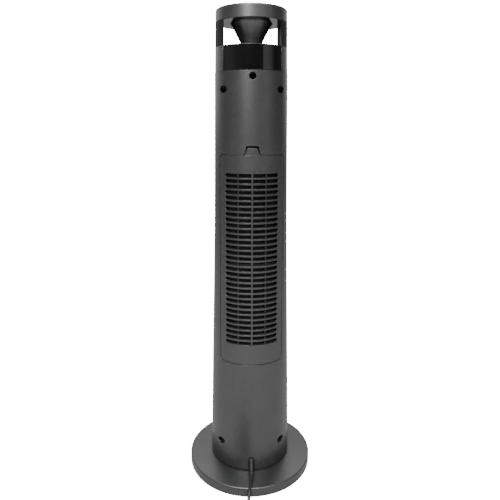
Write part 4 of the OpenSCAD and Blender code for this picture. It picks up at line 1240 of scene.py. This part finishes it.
class FAN_OT_grille(bpy.types.Operator):
    """Build the front grille: a frame, upright bars and cross bars"""
    bl_idname = "fan.grille"
    bl_label = "Front grille"

    bar_width: length("Bar width", "Width of one upright bar", 0.002)
    bar_pitch: length("Bar pitch", "Distance from bar to bar", 0.007)
    rim: length("Rim", "Width of the frame", 0.003)

    def execute(self, context):
        column = context.scene.fan_column
        black = MATERIALS["black_plastic"]
        wall = column_wall(column, math.pi)
        half, low, high = GRILLE_HIGH.x, GRILLE_LOW.z, GRILLE_HIGH.z
        outer = round_rect(half, low, high, 0.010)
        inner = round_rect(half - self.rim, low + self.rim, high - self.rim, 0.0075)
        sheet = Sheet()
        skin(sheet, wall, wall.lay(spaced(outer)), [wall.lay(spaced(inner))[::-1]],
             0.0005, 0.004)
        settle("grille_frame", sheet, black, "tower", "black_plastic",
               "front_grille")
        tree, sockets = bars_tree()
        values = column_values(column)
        bars = int(half / self.bar_pitch)
        rows = math.ceil((high - low) / 0.066)
        depth = 0.0036
        for name, laid in (
                ("grille_bars", {"Count": 2 * bars + 1, "Cuts X": 2, "Cuts Z": 40,
                                 "Size": (self.bar_width, depth, high - low - self.rim),
                                 "First": (-bars * self.bar_pitch, -depth / 2,
                                           (low + high) / 2),
                                 "Step": (self.bar_pitch, 0.0, 0.0)}),
                ("grille_cross_bars", {"Count": rows - 1, "Cuts X": 41, "Cuts Z": 2,
                                       "Size": (2 * half - self.rim, depth - 0.0012, 0.003),
                                       "First": (0.0, -depth / 2 - 0.0006,
                                                 low + (high - low) / rows),
                                       "Step": (0.0, 0.0, (high - low) / rows)})):
            mesh = grown(name, tree, sockets,
                         {**values, **laid, "Side": -1.0, "Material": black})
            eased(settle(name, mesh, black, "tower", "black_plastic"), 0.0004)
        return {"FINISHED"}


class FAN_OT_head(bpy.types.Operator):
    """Build the head: shoulders, glossy bands, pillars, cone, underside and cap"""
    bl_idname = "fan.head"
    bl_label = "Head"

    def execute(self, context):
        column = context.scene.fan_column
        head = context.scene.fan_head
        grey, gloss = MATERIALS["casing_grey"], MATERIALS["black_gloss"]
        band_top, cap_foot, top = BAND_HIGH.z, CAP_LOW.z, CAP_HIGH.z
        foot = COLUMN_TOP + 0.0002
        ref = column.radius_top

        sheet = Sheet()
        half = ref * (math.pi / 2 - head.band_angle)
        for turn in (math.pi / 2, -math.pi / 2):
            wall = head_wall(column, head, turn)
            skin(sheet, wall, rectangle(-half, foot, half, band_top), [], 0.0005, 0.0034)
        r0, r1 = head_radius(column, head, foot), head_radius(column, head, band_top)
        lathe(sheet, [(r0 - 0.0034, foot, 0), (r0 - 0.0021, foot, 0),
                      (r1 - 0.0021, band_top - 0.0003, 0), (r1 - 0.0034, band_top - 0.0003, 0)])
        settle("head_shoulders", sheet, grey, "tower", "casing_grey",
               "head_shell")

        half = ref * (head.band_angle - head.band_gap)
        for name, turn in (("band_rear", 0.0), ("band_front", math.pi)):
            sheet = Sheet()
            wall = head_wall(column, head, turn)
            skin(sheet, wall, rectangle(-half, BAND_LOW.z, half, band_top), [], 0.0006,
                 0.0018)
            settle(name + "_lens", sheet, gloss, "tower", "black_gloss",
                   name)

        flat = head_radius(column, head, band_top) * math.sin(head.band_angle) - 0.0009
        for name, side in (("pillar_left", 1), ("pillar_right", -1)):
            sheet = Sheet()
            rings = []
            inner = head_radius(column, head, cap_foot) - head.pillar_depth
            for z in (band_top, cap_foot):
                r = head_radius(column, head, z)
                a, b = math.acos(flat / r), math.acos(flat / inner)
                ring = [(r * math.cos(a - 2 * a * k / 24), r * math.sin(a - 2 * a * k / 24))
                        for k in range(25)]
                ring += [(inner * math.cos(-b + 2 * b * k / 16),
                          inner * math.sin(-b + 2 * b * k / 16)) for k in range(17)]
                rings.append([sheet.add((side * x, side * y, z)) for x, y in ring])
            count = len(rings[0])
            for i in range(count):
                j = (i + 1) % count
                sheet.face([rings[0][j], rings[0][i], rings[1][i], rings[1][j]])
            sheet.face(list(rings[0]))
            sheet.face(list(reversed(rings[1])))
            piece = settle(name + "_post", sheet, MATERIALS["pillar_black"], "tower",
                           "black_plastic", name)
            attributes = piece.data.attributes
            attributes.remove(attributes["custom_normal"])
            eased(piece, 0.0009, 35.0)
            piece.modifiers["Edges"].segments = 3

        sheet = Sheet()
        low = band_top - 0.0004
        steps, curve = 18, 1.2
        profile = []
        for k in range(steps + 1):
            u = k / steps
            r = head.cone_foot + (head.cone_top - head.cone_foot) * u ** curve
            profile.append((r, low + (cap_foot - low) * u, -1 if 0 < k < steps else 0))
        profile += [(r - 0.002, z, -1 if 0 < k < steps else 0)
                    for k, (r, z, _) in reversed(list(enumerate(profile)))]
        lathe(sheet, profile)
        # The cone's finish is the lighter copy of the casing grey: painted light
        settle("cone_shell", sheet, MATERIALS["cone_painted_light"], "tower",
               "casing_grey", "cone")

        sheet = Sheet()
        r = head_radius(column, head, cap_foot) - 0.0028
        lathe(sheet, [(head.cone_top - 0.004, cap_foot, 0), (r, cap_foot, 0.0003),
                      (r, cap_foot + 0.0016, 0), (head.cone_top - 0.004, cap_foot + 0.0016, 0)])
        settle("underside_disc", sheet, gloss, "tower", "black_gloss",
               "underside_plate")

        sheet = Sheet()
        r0, r1 = head_radius(column, head, cap_foot), head_radius(column, head, top)
        seat_z = PANEL_HIGH.z - 0.0024
        rim = PANEL_HIGH.x + 0.0002
        lathe(sheet, [(r0 - 0.0026, cap_foot, 0), (r0, cap_foot, 0.0007), (r1, top, 0.003),
                      (rim, top, 0.0004), (rim, seat_z, 0), (rim - 0.005, seat_z, 0),
                      (rim - 0.005, seat_z - 0.002, 0), (r1 - 0.0026, seat_z - 0.002, 0)],
              round_steps=8)
        settle("cap_shell", sheet, grey, "tower", "casing_grey", "top_cap")
        return {"FINISHED"}


class FAN_OT_buttons(bpy.types.Operator):
    """Build the five buttons of the control panel"""
    bl_idname = "fan.buttons"
    bl_label = "Buttons"

    def execute(self, context):
        head = context.scene.fan_head
        for i in range(1, 6):
            low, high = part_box(f"button_{i}")
            x, y = (low.x + high.x) / 2, (low.y + high.y) / 2
            r, top = head.button_radius, high.z
            sheet = Sheet()
            lathe(sheet, [(0, low.z, 0), (0.002, low.z, 0), (0.002, low.z + 0.006, 0),
                          (r + 0.0012, low.z + 0.006, 0), (r + 0.0012, low.z + 0.0073, 0),
                          (r, low.z + 0.0073, 0), (r, top, 0.0007), (r * 0.8, top - 0.0001, 0.0004),
                          (r * 0.45, top - 0.0006, -1), (0, top - 0.0008, 0)],
                  steps=64, centre=(x, y))
            settle(f"button_{i}_cap", sheet, MATERIALS["button_grey"], f"button_{i}",
                   "button_grey", f"button_{i}")
        return {"FINISHED"}


class FAN_OT_base(bpy.types.Operator):
    """Build the round base cover"""
    bl_idname = "fan.base"
    bl_label = "Base"

    rim: length("Rim", "Height of the rim", 0.020)
    edge: length("Edge", "Rounding of the rim's upper edge", 0.0025)

    def execute(self, context):
        column = context.scene.fan_column
        wall = column.wall
        r, low, boss = BASE_HIGH.x, BASE_LOW.z, BASE_HIGH.z
        shoulder = column.radius_foot + 0.002
        groove_in, groove_out = column.radius_foot - 0.019, column.radius_foot - 0.013
        hub = 0.0182
        sheet = Sheet()
        lathe(sheet, [(r - wall, low, 0), (r, low, 0.0005), (r, self.rim, self.edge),
                      (shoulder, boss, 0.004), (groove_out, boss, 0),
                      (groove_out, boss - 0.001, 0), (groove_in, boss - 0.001, 0),
                      (groove_in, boss, 0), (hub, boss, 0), (hub, boss - wall, 0),
                      (shoulder, boss - wall, 0.002), (r - wall, self.rim - wall, self.edge)],
              steps=256, round_steps=8)
        settle("base_shell", sheet, MATERIALS["casing_grey"], "base",
               "casing_grey", "base_cover")
        return {"FINISHED"}


class FAN_OT_strain_relief(bpy.types.Operator):
    """Build the ribbed strain relief in the cord notch"""
    bl_idname = "fan.strain_relief"
    bl_label = "Strain relief"

    def execute(self, context):
        column = context.scene.fan_column
        wall = column_wall(column)
        half, top = 0.0058, 0.0528
        foot = COLUMN_FOOT + 0.0004
        arch = [(-half, foot), (half, foot)]
        arch += [(half * math.cos(math.radians(15 * k)),
                  top - half + half * math.sin(math.radians(15 * k))) for k in range(13)]
        sheet = Sheet()
        skin(sheet, wall, wall.lay(spaced(arch)), [], 0.0006, 0.0034, depth=0.001)
        root, tip = Vector((0, 0.074, 0.0462)), Vector((0, 0.0958, 0.03213))
        points, radii = [], []
        steps = 28
        root_r, tip_r = 0.0054, 0.00385
        for k in range(steps + 1):
            u = k / steps
            groove = 0.0 if k % 4 in (0, 1) or u < 0.3 else 0.0006
            points.append(root.lerp(tip, u))
            radii.append(root_r + (tip_r - root_r) * u - groove)
        tube(sheet, points, radii, 32)
        settle("strain_boot", sheet, MATERIALS["cord_vinyl"], "tower",
               "cord_vinyl", "strain_relief")
        return {"FINISHED"}


class FAN_OT_screws(bpy.types.Operator):
    """Place the casing screws in their recesses and the screws under the base"""
    bl_idname = "fan.screws"
    bl_label = "Screws"

    head_radius: length("Head radius", "Radius of a screw head", 0.0034)
    head_height: length("Head height", "Height of a screw head", 0.0016)

    def execute(self, context):
        column = context.scene.fan_column
        tree, sockets = screws_tree()
        under = []
        ring = BASE_HIGH.x - 0.014
        for k in range(6):
            a = math.radians(45 + 60 * k)
            under.append((ring * math.cos(a), ring * math.sin(a), 0.0015 + self.head_height))
        for name, places, turn, reach, material, body, slot in (
                ("casing_screw_set", [(x, column.seat, z) for x, z in SCREWS],
                 (-math.pi / 2, 0.0, 0.0), 0.022, "black_steel", "tower", "casing_screws"),
                ("base_screw_set", under, (math.pi, 0.0, 0.0), 0.009, "zinc_steel", "base",
                 "base_screws")):
            mesh = grown(name, tree, sockets,
                         {"Head Radius": self.head_radius, "Head Height": self.head_height,
                          "Shank Radius": 0.0017, "Length": reach, "Turn": turn,
                          "Material": MATERIALS[material]}, places)
            settle(name, mesh, MATERIALS[material], body, material, slot)
        return {"FINISHED"}


class FAN_OT_blower(bpy.types.Operator):
    """Build the cross-flow wheel: curved blades, discs and stiffening rings"""
    bl_idname = "fan.blower"
    bl_label = "Blower wheel"

    blades: IntProperty(name="Blades", description="Number of blades", default=24, min=6,
                        max=60)

    def execute(self, context):
        plastic = MATERIALS["wheel_plastic"]
        tree, sockets = blades_tree()
        r, low, high = WHEEL_HIGH.x, WHEEL_LOW.z, WHEEL_HIGH.z
        mesh = grown("wheel_blades", tree, sockets,
                     {"Count": self.blades, "Inner Radius": r - 0.0094,
                      "Outer Radius": r - 0.0006, "Thickness": 0.0012,
                      "Height": high - low - 0.002, "Middle Height": (low + high) / 2,
                      "Sweep": math.radians(16), "Material": plastic})
        settle("wheel_blades", mesh, plastic, "wheel", "wheel_plastic", "blower_wheel")
        sheet = Sheet()
        for z in (low, high - 0.0024):
            lathe(sheet, [(0.007, z, 0), (r, z, 0.0005), (r, z + 0.0024, 0.0005),
                          (0.007, z + 0.0024, 0)], steps=96)
        rings = math.ceil((high - low) / 0.092)
        for k in range(1, rings):
            z = low + (high - low) * k / rings - 0.00075
            lathe(sheet, [(r - 0.010, z, 0), (r, z, 0.0003), (r, z + 0.0015, 0.0003),
                          (r - 0.010, z + 0.0015, 0)], steps=96)
        settle("wheel_rings", sheet, plastic, "wheel", "wheel_plastic")
        return {"FINISHED"}


class FAN_OT_finishes(bpy.types.Operator):
    """Make every material and dress the CAD nodes that keep their own shape"""
    bl_idname = "fan.finishes"
    bl_label = "Finishes"

    def execute(self, context):
        make_materials(context.scene.fan_finish)
        dress_nodes()
        return {"FINISHED"}


OPERATORS = (FAN_OT_finishes, FAN_OT_stage, FAN_OT_cord, FAN_OT_base, FAN_OT_casings,
             FAN_OT_door, FAN_OT_grille, FAN_OT_head, FAN_OT_buttons, FAN_OT_strain_relief,
             FAN_OT_screws, FAN_OT_blower)
SETTINGS = {"fan_column": FanColumnSettings, "fan_vent": FanVentSettings,
            "fan_head": FanHeadSettings, "fan_cord": FanCordSettings,
            "fan_finish": FanFinishSettings, "fan_stage": FanStageSettings}


class FAN_PT_panel(bpy.types.Panel):
    """Lists the pieces of the tower fan and their settings"""
    bl_idname = "FAN_PT_panel"
    bl_label = "Tower Fan"
    bl_space_type = "VIEW_3D"
    bl_region_type = "UI"
    bl_category = "Tower Fan"

    def draw(self, context):
        for operator in OPERATORS:
            self.layout.operator(operator.bl_idname)
        for name in SETTINGS:
            box = self.layout.box()
            settings = getattr(context.scene, name)
            for key in settings.__annotations__:
                box.prop(settings, key)


def register():
    for group in SETTINGS.values():
        bpy.utils.register_class(group)
    for operator in OPERATORS:
        bpy.utils.register_class(operator)
    bpy.utils.register_class(FAN_PT_panel)
    for name, group in SETTINGS.items():
        setattr(bpy.types.Scene, name, PointerProperty(type=group))


def unregister():
    for name in SETTINGS:
        delattr(bpy.types.Scene, name)
    bpy.utils.unregister_class(FAN_PT_panel)
    for operator in reversed(OPERATORS):
        bpy.utils.unregister_class(operator)
    for group in reversed(SETTINGS.values()):
        bpy.utils.unregister_class(group)


def main():
    register()
    bpy.ops.fan.finishes()
    bpy.ops.fan.stage()
    bpy.ops.fan.cord()
    bpy.ops.fan.base()
    bpy.ops.fan.casings()
    bpy.ops.fan.door()
    bpy.ops.fan.grille()
    bpy.ops.fan.head()
    bpy.ops.fan.buttons()
    bpy.ops.fan.strain_relief()
    bpy.ops.fan.screws()
    bpy.ops.fan.blower()


if __name__ == "__main__":
    main()
